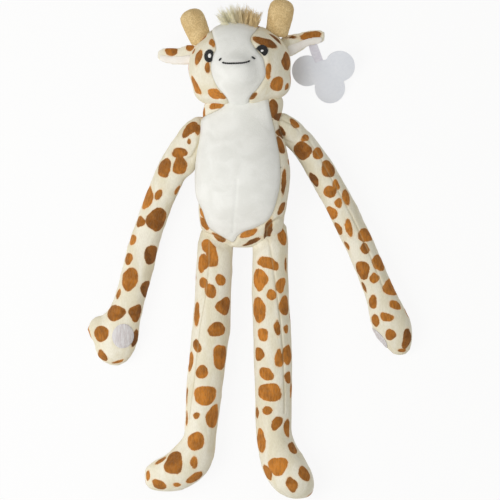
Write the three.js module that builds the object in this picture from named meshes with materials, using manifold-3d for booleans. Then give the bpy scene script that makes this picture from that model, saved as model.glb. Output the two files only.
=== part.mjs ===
// A plush giraffe with long floppy arms and legs, lying on its back.
// Millimetres. The origin is on the surface that it lies on, under the middle of the toy. +Z is up, out of
// its belly, +Y is towards its head, and left and right are as seen from above, with the head at the top.
// Each stuffed part is a plush cover with loose filling inside. The arms turn on the seams that hold them to
// the body's sides, the legs at the hips, the head at the neck, the ears at their bases and the tag on its
// strap.
import * as THREE from 'three';
import { mergeVertices } from 'three/addons/utils/BufferGeometryUtils.js';
import Module from 'manifold-3d';

const wasm = await Module();
wasm.setup();

// fabric, and the spaces between pieces
const wall = 2.0; // plush with its backing
const gap = 0.3; // between pieces that touch
const turnGap = 0.7; // between pieces that turn in each other
const bedFlat = 0.5; // depth of the flat where the toy lies on its back
const overrun = 60; // how far cutting shapes reach past what they cut
const slitLength = 16; // the slits that the limbs are stuffed through, sewn up
const slitWidth = 0.8;

// body
const bodyLength = 147;
const bodyHalfWidth = 47.5;
const bodyHalfDepth = 35.5;
const bodyCentreX = -8.5;
const crotchY = 3;
// rows of shares: [along from the crotch, half width, half depth, shift sideways, height of the middle]
const bodyShares = [
  [0, 0, 0, 0, 0.56],
  [0.012, 0.3, 0.2, 0, 0.56],
  [0.045, 0.6, 0.36, 0, 0.58],
  [0.1, 0.79, 0.54, 0, 0.62],
  [0.15, 0.855, 0.68, 0, 0.71],
  [0.21, 0.885, 0.82, 0, 0.82],
  [0.28, 0.925, 0.93, 0, 0.93],
  [0.36, 0.975, 0.985, 0, 0.985],
  [0.45, 1, 1, 0, 1],
  [0.54, 0.99, 0.99, 0, 0.99],
  [0.63, 0.965, 0.96, 0, 0.96],
  [0.72, 0.925, 0.87, -0.02, 0.91],
  [0.8, 0.86, 0.74, -0.08, 0.89],
  [0.87, 0.79, 0.58, -0.115, 0.9],
  [0.93, 0.73, 0.5, -0.12, 0.93],
  [0.965, 0.62, 0.45, -0.12, 0.93],
  [0.99, 0.36, 0.28, -0.12, 0.93],
  [1, 0, 0, -0.12, 0.93],
];
const bodySides = 16;
// the white belly panel, rows of shares: [along the body, left edge, right edge], from the body's middle
const bellyShares = [
  [0.02, -0.15, 0.02],
  [0.06, -0.42, 0.28],
  [0.14, -0.68, 0.52],
  [0.24, -0.86, 0.7],
  [0.4, -0.93, 0.8],
  [0.6, -0.9, 0.79],
  [0.75, -0.79, 0.7],
  [0.88, -0.74, 0.58],
  [0.94, -0.66, 0.5],
];

// neck: a barrel on the body, lying across it, that the head turns on
const neckRadius = 20;
const neckHalfWidth = 29;
const neckRounding = 8;
const neckAlongShare = 0.955;
const neckSides = 16;

// head
const headHalfWidth = 51.5;
const headHalfHeight = 42.5;
const headHalfDepth = 40;
const headCentreX = -10.8;
const headRise = 34.5; // from the top of the body to the middle of the head
const headRoll = THREE.MathUtils.degToRad(5);
const faceShift = -3; // the face looks a little to the left
const muzzleHalfWidth = 28;
const muzzleHalfHeight = 25;
const muzzleHalfDepth = 35;
const muzzleDrop = 8.5;
const muzzleForward = 15;
const muzzleTilt = THREE.MathUtils.degToRad(-12);
const skullSides = 20;
const muzzleSides = 16;
// the white face panel, rows of shares: [height on the head, half width]
const faceShares = [
  [1.15, 0.46],
  [0.87, 0.46],
  [0.635, 0.36],
  [0.43, 0.34],
  [0.3, 0.42],
  [0.1, 0.5],
  [-0.18, 0.54],
  [-0.48, 0.42],
  [-0.7, 0.24],
  [-0.77, 0.07],
];

// eyes, nostrils and mouth, embroidered on the head
const eyeHalfWidth = 5.6;
const eyeHalfHeight = 6.2;
const eyeProud = 1.8;
const eyeAcrossShare = 0.522;
const eyeUpShare = 0.27;
const glintHalfWidth = 1.7;
const glintHalfHeight = 2.2;
const glintProud = 0.6;
const threadHalfWidth = 0.9;
const threadProud = 0.9;
const nostrilHalfLength = 1.9;
const nostrilAcrossShare = 0.325;
const nostrilUpShare = 0.145;
const nostrilLean = THREE.MathUtils.degToRad(40);
// rows of shares of the head's half width and half height: [across from the middle of the face, up]
const mouthShares = [
  [-0.256, 0.066],
  [-0.19, 0.042],
  [-0.07, 0.029],
  [0.07, 0.028],
  [0.19, 0.04],
  [0.256, 0.062],
];

// horns and hair, set into the top of the head
const hornHalfWidth = 11.7;
const hornHalfDepth = 9.5;
const hornLength = 41.5;
const leftHornTilt = THREE.MathUtils.degToRad(18.5);
const rightHornTilt = THREE.MathUtils.degToRad(16);
const leftHornAcrossShare = 0.61;
const rightHornAcrossShare = 0.665;
const hornUpShare = 0.48;
const hornForward = 2;
// rows of shares: [along, half width]
const hornShares = [
  [0, 0],
  [0.02, 0.66],
  [0.3, 0.78],
  [0.55, 0.93],
  [0.75, 1],
  [0.86, 0.9],
  [0.94, 0.64],
  [1, 0],
];
const hornSides = 10;
const tuftHalfWidth = 18.5;
const tuftHalfDepth = 8;
const tuftHeight = 30;
const tuftAcross = 6;
const tuftUpShare = 0.7;
// rows of shares: [along, half width]
const tuftShares = [
  [0, 0],
  [0.02, 0.66],
  [0.35, 0.74],
  [0.62, 0.96],
  [0.8, 1],
  [0.93, 0.7],
  [1, 0],
];

// ears
const earLength = 34;
const earHalfWidth = 9.2;
const earBackThick = 2;
const earLiningThick = 1.6;
const earLiningInset = 1.6;
const earLiningStart = 5;
const earRollRadius = 2.4;
const earRollHalfLength = 8;
const earUpShare = 0.37;
const earSkewShare = -0.36; // how far the tip drops below the line square to the base
const leftEarDroop = THREE.MathUtils.degToRad(22);
const rightEarDroop = THREE.MathUtils.degToRad(8);
const earDrop = 1.5; // below the middle of the head's depth
// rows of shares: [along, half width]
const earShares = [
  [0, 0.9],
  [0.12, 1.02],
  [0.35, 0.96],
  [0.6, 0.86],
  [0.82, 0.72],
  [0.94, 0.46],
  [1, 0.12],
];

// arms
const armHalfWidth = 14;
const armHalfDepth = 13;
const armReach = 229;
const armSeamHeight = 30;
const armRollRadius = 5;
const armRollHalfLength = 14.5;
const armRollOut = 1; // from the body's side out to the middle of the roll
const armSides = 10;
const rollSides = 12;
const thumbHalfDepth = 9;
const patchHalfWidth = 10.5;
const patchHalfLength = 12;
const patchThick = 1.4;

// legs
const legHalfWidth = 17.6;
const legHalfDepth = 16.6;
const hipHalfSpacing = 27;
const hipMiddleX = -7.5;
const hipUp = 4; // from the crotch up to the hips' pivots
const hipHeight = 19;
const hipRadius = 15.5;
const hipHalfWidth = 18.5;
const legSides = 10;
const hipSides = 14;
const toeLift = 6; // of the right foot

// Rows of shares: [down, sideways, half width, half depth, lift]. Down and sideways are of the limb's reach,
// the lift is of the root's height above where the limb would lie on the surface.
const leftArm = {
  name: 'left',
  side: -1,
  halfWidth: armHalfWidth,
  halfDepth: armHalfDepth,
  reach: armReach,
  sides: armSides,
  seamAlongShare: 0.755,
  shares: [
    [0, 0, 0.93, 0.27, 1],
    [0.01, 0.02, 0.95, 0.34, 1],
    [0.037, 0.042, 0.86, 0.6, 0.95],
    [0.0873, 0.085, 0.86, 0.96, 0.8],
    [0.17, 0.1214, 0.97, 1, 0.5],
    [0.3, 0.175, 0.94, 1, 0.14],
    [0.467, 0.2327, 0.95, 1, 0],
    [0.557, 0.2546, 1.03, 1, 0],
    [0.729, 0.3026, 1.01, 1, 0],
    [0.812, 0.3354, 1.2, 0.95, 0],
    [0.89, 0.3485, 1.2, 0.9, 0],
    [0.956, 0.3616, 1, 0.75, 0],
    [0.988, 0.367, 0.55, 0.48, 0],
    [1, 0.3694, 0, 0, 0],
  ],
  slitRow: 4,
  thumbShares: [0.8515, 0.416],
  thumbHalfWidth: 14,
  thumbHalfLength: 15,
  patchShares: [0.87, 0.318],
  patchFace: 0,
};
const rightArm = {
  name: 'right',
  side: 1,
  halfWidth: armHalfWidth,
  halfDepth: armHalfDepth,
  reach: armReach,
  sides: armSides,
  seamAlongShare: 0.83,
  shares: [
    [0, 0, 0.93, 0.27, 1],
    [0.002, 0.026, 0.94, 0.34, 1],
    [0.018, 0.06, 0.84, 0.64, 0.93],
    [0.0546, 0.1026, 0.84, 0.94, 0.78],
    [0.125, 0.148, 0.88, 1, 0.52],
    [0.24, 0.215, 0.89, 1, 0.2],
    [0.38, 0.291, 0.95, 1, 0.02],
    [0.55, 0.374, 0.92, 1, 0],
    [0.7205, 0.4445, 1.02, 1, 0],
    [0.799, 0.473, 1.15, 0.97, 0],
    [0.87, 0.494, 1.28, 0.92, 0],
    [0.943, 0.519, 1, 0.75, 0],
    [0.985, 0.5275, 0.5, 0.45, 0],
    [1, 0.53, 0, 0, 0],
  ],
  slitRow: 4,
  thumbShares: [0.921, 0.5437],
  thumbHalfWidth: 10,
  thumbHalfLength: 15,
  patchShares: [0.915, 0.475],
  patchFace: THREE.MathUtils.degToRad(80),
};
const leftLeg = {
  name: 'left',
  side: -1,
  halfWidth: legHalfWidth,
  halfDepth: legHalfDepth,
  reach: 238,
  sides: legSides,
  shares: [
    [0, 0, 0.5, 0.5, 1],
    [0.055, 0.005, 0.96, 0.78, 1],
    [0.105, 0.011, 0.98, 0.92, 0.9],
    [0.197, 0.0134, 0.98, 1, 0.5],
    [0.3445, 0.02, 1, 1, 0],
    [0.6, 0.048, 0.98, 1, 0],
    [0.777, 0.064, 0.86, 0.95, 0],
    [0.8235, 0.0714, 0.84, 0.97, 0],
    [0.889, 0.0945, 0.97, 1, 0],
    [0.954, 0.155, 0.97, 1, 0],
    [0.9916, 0.227, 0.77, 0.85, 0],
    [0.998, 0.268, 0.5, 0.55, 0],
    [1, 0.29, 0, 0, 0],
  ],
  slitRow: 3,
};
const rightLeg = {
  name: 'right',
  side: 1,
  halfWidth: legHalfWidth,
  halfDepth: legHalfDepth,
  reach: 256.6,
  sides: legSides,
  shares: [
    [0, 0, 0.5, 0.5, 1],
    [0.05, 0, 0.96, 0.78, 1],
    [0.095, 0, 0.98, 0.92, 0.9],
    [0.218, 0.001, 0.99, 1, 0.4],
    [0.417, 0.0105, 1.03, 1, 0],
    [0.686, 0.015, 0.97, 1, 0],
    [0.768, 0.0195, 0.96, 1, 0],
    [0.857, 0.0526, 1.2, 1.1, 0.3],
    [0.9275, 0.0877, 1.1, 1.1, 0.8],
    [0.97, 0.107, 0.8, 0.85, 1],
    [0.993, 0.1135, 0.4, 0.45, 1],
    [1, 0.115, 0, 0, 1],
  ],
  slitRow: 3,
  toeLift,
};

// swing tag with three lobes, and its strap
const tagLobeRadius = 15.2;
const tagMiddleRadius = 11;
const tagThick = 0.9;
const tagSpread = 18;
// rows of shares of the spread: [across, along the tag]
const tagLobeShares = [
  [-0.93, 0.5],
  [0.89, 0.31],
  [0.07, -0.83],
];
const tagSides = 18;
const tagTurn = THREE.MathUtils.degToRad(14);
const tagLean = THREE.MathUtils.degToRad(24);
const tagDown = 35; // from the strap's top to the middle of the tag, as seen from above
const tagLie = 12.4; // height of the tag's middle
const strapWidth = 8;
const strapThick = 0.8;
const strapLap = 7; // the part of the strap that lies under the tag
const strapReach = 19; // from the strap's top to the lap
const strapTuckShare = 0.78; // where on the ear's length the strap is held

// colours
const cloth = (color, roughness = 0.95) => new THREE.MeshStandardMaterial({ color, roughness, metalness: 0 });
const spottedPlush = cloth(0xe9dfc6);
const whitePlush = cloth(0xf1f0ec);
const tanPlush = cloth(0xcdae79);
const hairPile = cloth(0xb49f74);
const darkThread = cloth(0x141414, 0.6);
const whiteThread = cloth(0xfafafa, 0.7);
const filling = cloth(0xf7f7f4, 1);
const fastener = cloth(0xd9d4d2, 0.9);
const tagCard = cloth(0xdadbdd, 0.6);

const X = new THREE.Vector3(1, 0, 0);
const Y = new THREE.Vector3(0, 1, 0);
const Z = new THREE.Vector3(0, 0, 1);

// The row of a table of shares at one share along it, with straight lines between the rows.
function rowAt(rows, share) {
  const next = Math.max(1, rows.findIndex((row) => row[0] >= share));
  const [a, b] = [rows[next - 1], rows[next]];
  const t = (share - a[0]) / (b[0] - a[0]);
  return a.map((value, k) => THREE.MathUtils.lerp(value, b[k], t));
}

function solidOf(geometry, place = new THREE.Matrix4()) {
  const bare = geometry.clone().applyMatrix4(place);
  bare.deleteAttribute('normal');
  bare.deleteAttribute('uv');
  const merged = mergeVertices(bare, gap / 1000);
  return new wasm.Manifold(new wasm.Mesh({
    numProp: 3,
    vertProperties: new Float32Array(merged.attributes.position.array),
    triVerts: new Uint32Array(merged.index.array),
  }));
}

function piece(name, solid, material) {
  const { vertProperties, triVerts } = solid.getMesh();
  const geometry = new THREE.BufferGeometry();
  geometry.setAttribute('position', new THREE.BufferAttribute(vertProperties, 3));
  geometry.setIndex(new THREE.BufferAttribute(triVerts, 1));
  geometry.computeVertexNormals();
  const mesh = new THREE.Mesh(geometry, material);
  mesh.name = name;
  return mesh;
}

// A closed skin over oval sections. Each has a centre and two half axes, across and up, which turn
// right-handed about the way from one section to the next. The first and last sections are points.
function skin(sections, sides, phase = -Math.PI / 2) {
  const points = [sections[0].centre];
  for (const { centre, across, up } of sections.slice(1, -1)) {
    for (let k = 0; k < sides; k += 1) {
      const turn = phase + (2 * Math.PI * k) / sides;
      points.push(centre.clone().addScaledVector(across, Math.cos(turn)).addScaledVector(up, Math.sin(turn)));
    }
  }
  points.push(sections.at(-1).centre);
  const rings = sections.length - 2;
  const last = points.length - 1;
  const at = (ring, k) => 1 + ring * sides + (k % sides);
  const faces = [];
  for (let k = 0; k < sides; k += 1) {
    faces.push(0, at(0, k + 1), at(0, k));
    faces.push(last, at(rings - 1, k), at(rings - 1, k + 1));
    for (let ring = 0; ring < rings - 1; ring += 1) {
      faces.push(at(ring, k), at(ring, k + 1), at(ring + 1, k));
      faces.push(at(ring, k + 1), at(ring + 1, k + 1), at(ring + 1, k));
    }
  }
  const geometry = new THREE.BufferGeometry().setFromPoints(points);
  geometry.setIndex(faces);
  return solidOf(geometry);
}

function ellipsoid(halfX, halfY, halfZ, place, slices = 20) {
  return solidOf(new THREE.SphereGeometry(1, slices, slices / 2).scale(halfX, halfY, halfZ), place);
}

// A cylinder with rounded ends, its middle at a point and its axis along a direction.
function barrel(centre, axis, radius, halfLength, rounding, slices = 20) {
  const profile = [
    [0, -halfLength],
    [radius - rounding, -halfLength],
    [radius, rounding - halfLength],
    [radius, halfLength - rounding],
    [radius - rounding, halfLength],
    [0, halfLength],
  ].map(([out, along]) => new THREE.Vector2(out, along));
  const turn = new THREE.Quaternion().setFromUnitVectors(Y, axis);
  const place = new THREE.Matrix4().compose(centre, turn, new THREE.Vector3(1, 1, 1));
  return solidOf(new THREE.LatheGeometry(profile, slices), place);
}

// A prism of an outline in its own XY plane, between two heights.
function prism(outline, low, high, place) {
  const shape = new THREE.Shape(outline.map(([x, y]) => new THREE.Vector2(x, y)));
  const geometry = new THREE.ExtrudeGeometry(shape, { depth: high - low, bevelEnabled: false });
  return solidOf(geometry.translate(0, 0, low), place);
}

function boxBetween(low, high) {
  const size = high.clone().sub(low);
  const middle = low.clone().add(high).multiplyScalar(0.5);
  return solidOf(new THREE.BoxGeometry(size.x, size.y, size.z).translate(middle.x, middle.y, middle.z));
}

const joined = (solids) => solids.reduce((a, b) => a.add(b));
const cutBy = (solid, tools) => tools.reduce((a, b) => a.subtract(b), solid);

const farOut = bodyLength + headRise + headHalfHeight + leftLeg.reach + rightLeg.reach + armReach;
const underFloor = boxBetween(
  new THREE.Vector3(-farOut, -farOut, -farOut),
  new THREE.Vector3(farOut, farOut, 0),
);

// What lies on a surface(inset) between two distances outside it, inside a tool.
function laidOn(surface, tool, from, to) {
  return tool.intersect(surface(-to)).subtract(surface(-from));
}

// Places that several pieces share.
const bodyY = (along) => crotchY + along * bodyLength;
const bodyX = (along) => bodyCentreX + rowAt(bodyShares, along)[3] * bodyHalfWidth;
const bodyMiddle = (along) => rowAt(bodyShares, along)[4] * bodyHalfDepth - bedFlat;
const neckPivot = new THREE.Vector3(bodyX(neckAlongShare), bodyY(neckAlongShare), bodyMiddle(neckAlongShare));
const headCentre = new THREE.Vector3(headCentreX, bodyY(1) + headRise, headHalfDepth - bedFlat);
const headPlace = new THREE.Matrix4().makeRotationZ(headRoll).setPosition(headCentre);
const hipPivot = (side) => new THREE.Vector3(hipMiddleX + side * hipHalfSpacing, crotchY + hipUp, hipHeight);

// A point on the body's side at the height of the arms' seams.
function bodySidePoint(along, side) {
  const row = rowAt(bodyShares, along);
  const rise = (armSeamHeight - bodyMiddle(along)) / (row[2] * bodyHalfDepth);
  const out = row[1] * bodyHalfWidth * Math.sqrt(1 - rise * rise);
  return new THREE.Vector3(bodyX(along) + side * out, bodyY(along), armSeamHeight);
}

// The seam that an arm turns on: its middle, its direction down the body and the direction out from it.
function armSeam(arm) {
  const half = armRollHalfLength / bodyLength;
  const top = bodySidePoint(arm.seamAlongShare + half, arm.side);
  const bottom = bodySidePoint(arm.seamAlongShare - half, arm.side);
  const down = bottom.clone().sub(top).normalize();
  const out = new THREE.Vector3().crossVectors(down, Z).multiplyScalar(-arm.side);
  const side = bodySidePoint(arm.seamAlongShare, arm.side);
  return { middle: side.addScaledVector(out, armRollOut), down, out };
}

const armRoll = (arm, clearance) => {
  const { middle, down } = armSeam(arm);
  const radius = armRollRadius + clearance;
  return barrel(middle, down, radius, armRollHalfLength + clearance, armRollRadius / 2, rollSides);
};
const hipBall = (leg, clearance) => {
  const place = new THREE.Matrix4().makeRotationY(Math.PI / 2).setPosition(hipPivot(leg.side));
  const radius = hipRadius + clearance;
  return ellipsoid(radius, radius, hipHalfWidth + clearance, place, hipSides);
};
const neckBarrel = (clearance) => {
  return barrel(neckPivot, X, neckRadius + clearance, neckHalfWidth + clearance, neckRounding, neckSides);
};

// The body.
function bodySkin(inset) {
  const sections = bodyShares.map(([along, width, depth, , middle]) => {
    const y = THREE.MathUtils.clamp(bodyY(along), bodyY(0) + inset, bodyY(1) - inset);
    return {
      centre: new THREE.Vector3(bodyX(along), y, middle * bodyHalfDepth - bedFlat),
      across: X.clone().multiplyScalar(-Math.max(width * bodyHalfWidth - inset, gap)),
      up: Z.clone().multiplyScalar(Math.max(depth * bodyHalfDepth - inset, gap)),
    };
  });
  return skin(sections, bodySides);
}

const arms = [leftArm, rightArm];
const legs = [leftLeg, rightLeg];

function bodySolid(inset) {
  const whole = bodySkin(inset).add(neckBarrel(-inset));
  const seats = [
    ...arms.map((arm) => armRoll(arm, turnGap + inset)),
    ...legs.map((leg) => hipBall(leg, turnGap + inset)),
  ];
  return cutBy(whole, seats);
}

// The space over the belly inside the panel's outline, grown by a margin.
function bellyTool(margin) {
  const rows = bellyShares.map(([along, left, right], k) => {
    const halfWidth = rowAt(bodyShares, along)[1] * bodyHalfWidth;
    const end = k === 0 ? -margin : k === bellyShares.length - 1 ? margin : 0;
    const low = bodyMiddle(along) - margin;
    const high = bodyHalfDepth + bodyHalfDepth + overrun;
    const half = (right - left) * halfWidth * 0.5 + margin;
    const middle = bodyX(along) + (left + right) * halfWidth * 0.5;
    return {
      centre: new THREE.Vector3(middle, bodyY(along) + end, (low + high) / 2),
      across: X.clone().multiplyScalar(-half * Math.SQRT2),
      up: Z.clone().multiplyScalar((high - low) * Math.SQRT1_2),
    };
  });
  const seatWall = turnGap + wall + gap / 2 - margin;
  const seats = legs.map((leg) => hipBall(leg, seatWall));
  return cutBy(skin([rows[0], ...rows, rows.at(-1)], 4, Math.PI / 4), seats);
}

const bodyShell = bodySolid(0).subtract(bodySolid(wall));
const body = [
  piece('body_cover', bodyShell.subtract(bellyTool(gap / 2)).subtract(underFloor), spottedPlush),
  piece('belly_panel', bodyShell.intersect(bellyTool(-gap / 2)), whitePlush),
  piece('body_fill', bodySolid(wall + gap).subtract(underFloor), filling),
];

// The head, with its face, horns and hair.
const muzzlePlace = new THREE.Matrix4()
  .makeTranslation(faceShift, -muzzleDrop, muzzleForward)
  .multiply(new THREE.Matrix4().makeRotationX(muzzleTilt))
  .premultiply(headPlace);

function headSolid(inset) {
  const skull = ellipsoid(
    headHalfWidth - inset,
    headHalfHeight - inset,
    headHalfDepth - inset,
    headPlace,
    skullSides,
  );
  const muzzle = ellipsoid(
    muzzleHalfWidth - inset,
    muzzleHalfHeight - inset,
    muzzleHalfDepth - inset,
    muzzlePlace,
    muzzleSides,
  );
  return skull.add(muzzle).subtract(neckBarrel(turnGap + inset));
}

const faceHigh = headHalfDepth + muzzleHalfDepth + overrun;
function faceTool(margin) {
  const half = (row) => row[1] * headHalfWidth + margin;
  const end = (k) => (k === faceShares.length - 1 ? -margin : 0);
  const edge = (sign) => faceShares.map((row, k) => [
    faceShift + sign * half(row),
    row[0] * headHalfHeight + end(k),
  ]);
  const whole = prism([...edge(1), ...edge(-1).reverse()], -margin, faceHigh, headPlace);
  return whole.subtract(neckBarrel(turnGap + wall + gap / 2 - margin));
}

const headShell = headSolid(0).subtract(headSolid(wall));
const headPieces = [
  piece('head_cover', headShell.subtract(faceTool(gap / 2)).subtract(underFloor), spottedPlush),
  piece('face_panel', headShell.intersect(faceTool(-gap / 2)), whitePlush),
  piece('head_fill', headSolid(wall + gap).subtract(underFloor), filling),
];

// Ovals and strokes of thread on the face, seen from the front.
function oval(x, y, halfWidth, halfHeight, count) {
  return Array.from({ length: count }, (_, k) => {
    const turn = (2 * Math.PI * k) / count;
    return [x + halfWidth * Math.cos(turn), y + halfHeight * Math.sin(turn)];
  });
}

const onFace = (outline, from, to) => laidOn(headSolid, prism(outline, 0, faceHigh, headPlace), from, to);

for (const [name, side] of [['left', -1], ['right', 1]]) {
  const x = faceShift + side * eyeAcrossShare * headHalfWidth;
  const y = eyeUpShare * headHalfHeight;
  const eye = oval(x, y, eyeHalfWidth, eyeHalfHeight, 18);
  const glint = oval(x + glintHalfWidth, y + glintHalfHeight / 2, glintHalfWidth, glintHalfHeight, 10);
  const top = gap + eyeProud;
  headPieces.push(
    piece(`${name}_eye`, onFace(eye, gap, top), darkThread),
    piece(`${name}_eye_glint`, onFace(glint, top + gap, top + gap + glintProud), whiteThread),
  );
  const [nx, ny] = [faceShift + side * nostrilAcrossShare * headHalfWidth, nostrilUpShare * headHalfHeight];
  const lean = side * nostrilLean;
  const stroke = [[-1, -1], [1, -1], [1, 1], [-1, 1]].map(([a, b]) => [
    nx + a * threadHalfWidth * Math.cos(lean) - b * nostrilHalfLength * Math.sin(lean),
    ny + a * threadHalfWidth * Math.sin(lean) + b * nostrilHalfLength * Math.cos(lean),
  ]);
  headPieces.push(piece(`${name}_nostril`, onFace(stroke, gap, gap + threadProud), darkThread));
}
const mouthLine = (shift) => mouthShares.map(([across, up]) => [
  faceShift + across * headHalfWidth,
  up * headHalfHeight + shift,
]);
const mouth = [...mouthLine(-threadHalfWidth), ...mouthLine(threadHalfWidth).reverse()];
headPieces.push(piece('mouth_stitch', onFace(mouth, gap, gap + threadProud), darkThread));

// A stuffed cone or fan that stands on the head, along its own +Y.
function standing(shares, height, halfWidth, halfDepth, sides, place) {
  const sections = shares.map(([along, width]) => ({
    centre: new THREE.Vector3(0, along * height, 0).applyMatrix4(place),
    across: X.clone().negate().transformDirection(place).multiplyScalar(width * halfWidth),
    up: Z.clone().multiplyScalar(width * halfDepth),
  }));
  return skin(sections, sides);
}

function horn(name, side, tilt, acrossShare) {
  const place = new THREE.Matrix4()
    .makeRotationZ(-side * tilt)
    .setPosition(side * acrossShare * headHalfWidth, hornUpShare * headHalfHeight, hornForward)
    .premultiply(headPlace);
  const whole = standing(hornShares, hornLength, hornHalfWidth, hornHalfDepth, hornSides, place);
  return piece(`${name}_horn`, whole.subtract(headSolid(-gap)), tanPlush);
}
headPieces.push(
  horn('left', -1, leftHornTilt, leftHornAcrossShare),
  horn('right', 1, rightHornTilt, rightHornAcrossShare),
);
const tuftPlace = new THREE.Matrix4()
  .makeTranslation(tuftAcross, tuftUpShare * headHalfHeight, hornForward)
  .premultiply(headPlace);
const tuft = standing(tuftShares, tuftHeight, tuftHalfWidth, tuftHalfDepth, hornSides, tuftPlace);
headPieces.push(piece('hair_tuft', tuft.subtract(headSolid(-gap)), hairPile));

// The place of an ear's base: +X out of the head's side, +Y up its base, and the roll that it turns on at the
// origin.
function earPlace(side) {
  const up = earUpShare;
  const out = Math.sqrt(1 - up * up);
  const lean = Math.atan2(up / headHalfHeight, out / headHalfWidth);
  const clear = earRollRadius + gap;
  const x = out * headHalfWidth + clear * Math.cos(lean);
  const y = up * headHalfHeight + clear * Math.sin(lean);
  return new THREE.Matrix4()
    .makeRotationZ(side * lean)
    .multiply(new THREE.Matrix4().makeRotationY(side * (side < 0 ? leftEarDroop : rightEarDroop)))
    .setPosition(side * x, y, -earDrop)
    .premultiply(headPlace);
}

// The ear's outline from a start on its length, drawn in by an inset.
function earOutline(side, start, inset) {
  const rows = [[start / earLength, rowAt(earShares, start / earLength)[1]]];
  rows.push(...earShares.filter(([along]) => along * earLength > start + inset));
  const edge = (sign) => rows.map(([along, width], k) => [
    side * (along * earLength - (k === rows.length - 1 ? inset : 0)),
    along * earLength * earSkewShare + sign * Math.max(width * earHalfWidth - inset, gap),
  ]);
  return [...edge(-1), ...edge(1).reverse()];
}

function ear(name, side) {
  const place = earPlace(side);
  const centre = new THREE.Vector3().setFromMatrixPosition(place);
  const base = Y.clone().transformDirection(place);
  const roll = barrel(centre, base, earRollRadius, earRollHalfLength, earRollRadius / 2, rollSides);
  const half = earBackThick / 2;
  const back = prism(earOutline(side, 0, 0), -half, half, place).add(roll);
  const low = half + gap;
  const lining = prism(earOutline(side, earLiningStart, earLiningInset), low, low + earLiningThick, place);
  return [
    piece(`${name}_ear_back`, back, spottedPlush),
    piece(`${name}_ear_lining`, lining, whitePlush),
  ];
}

// The sections of a limb from its root, where it starts off in a given direction.
function limbSections(limb, root, start, inset) {
  const rest = (depth) => depth * limb.halfDepth - bedFlat;
  const toeLift = limb.toeLift ?? 0;
  const centres = limb.shares.map(([down, sideways, , depth, lift], k) => {
    const tip = k === limb.shares.length - 1;
    const lying = rest(tip ? limb.shares[k - 1][3] : depth);
    const rise = lift * (down < 0.5 ? root.z - lying : toeLift);
    const x = root.x + limb.side * sideways * limb.reach;
    return new THREE.Vector3(x, root.y - down * limb.reach, lying + rise);
  });
  const sections = limb.shares.map(([, , width, depth], k) => {
    const before = centres[Math.max(k - 1, 0)];
    const after = centres[Math.min(k + 1, centres.length - 1)];
    const hold = Math.max(0, 1 - centres[k].distanceTo(root) / (2 * limb.halfWidth));
    const way = after.clone().sub(before).setZ(0).normalize().lerp(start, hold).normalize();
    const fromTip = centres[k].distanceTo(centres.at(-1));
    const drawnBack = Math.min(0, fromTip - inset);
    const drawnOut = width === 0 ? Math.max(0, -inset) : 0;
    const half = Math.max(width * limb.halfWidth - inset, gap);
    return {
      centre: centres[k].clone().addScaledVector(way, drawnBack + drawnOut),
      across: new THREE.Vector3().crossVectors(Z, way).multiplyScalar(half),
      up: Z.clone().multiplyScalar(Math.max(depth * limb.halfDepth - inset, gap)),
    };
  });
  sections[0].centre.addScaledVector(start, Math.max(inset, 0));
  return [sections[0], ...sections];
}

function slit(limb, sections) {
  const at = sections[limb.slitRow + 1];
  const way = new THREE.Vector3().crossVectors(at.across, Z).normalize();
  const turn = new THREE.Matrix4().makeRotationZ(Math.atan2(way.y, way.x)).setPosition(at.centre);
  const low = -limb.halfDepth - limb.halfDepth;
  const outline = [
    [-slitLength / 2, -slitWidth / 2],
    [slitLength / 2, -slitWidth / 2],
    [slitLength / 2, slitWidth / 2],
    [-slitLength / 2, slitWidth / 2],
  ];
  return prism(outline, low, 0, turn);
}

function limbPieces(limb, kind, solid, sections) {
  const cover = solid(0).subtract(solid(wall)).subtract(slit(limb, sections)).subtract(underFloor);
  return [
    piece(`${limb.name}_${kind}_cover`, cover, spottedPlush),
    piece(`${limb.name}_${kind}_fill`, solid(wall + gap).subtract(underFloor), filling),
  ];
}

function arm(limb) {
  const { middle, out } = armSeam(limb);
  const handPoint = ([down, sideways], height) => new THREE.Vector3(
    middle.x + limb.side * sideways * limb.reach,
    middle.y - down * limb.reach,
    height,
  );
  const thumbPlace = new THREE.Matrix4().setPosition(handPoint(limb.thumbShares, thumbHalfDepth - bedFlat));
  const solid = (inset) => joined([
    skin(limbSections(limb, middle, out, inset), limb.sides),
    armRoll(limb, -inset),
    ellipsoid(
      limb.thumbHalfWidth - inset,
      limb.thumbHalfLength - inset,
      thumbHalfDepth - inset,
      thumbPlace,
      10,
    ),
  ]).subtract(bodySolid(-gap - inset));
  const palm = handPoint(limb.patchShares, armHalfDepth - bedFlat);
  const palmPlace = new THREE.Matrix4().makeRotationY(-limb.patchFace).setPosition(palm);
  const patchOutline = oval(0, 0, patchHalfWidth, patchHalfLength, 20);
  const patch = laidOn(solid, prism(patchOutline, 0, overrun, palmPlace), gap, gap + patchThick);
  return [
    ...limbPieces(limb, 'arm', solid, limbSections(limb, middle, out, 0)),
    piece(`${limb.name}_palm_patch`, patch.subtract(underFloor), fastener),
  ];
}

function leg(limb) {
  const root = hipPivot(limb.side);
  const down = Y.clone().negate();
  const solid = (inset) => skin(limbSections(limb, root, down, inset), limb.sides)
    .add(hipBall(limb, -inset));
  return limbPieces(limb, 'leg', solid, limbSections(limb, root, down, 0));
}

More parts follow.
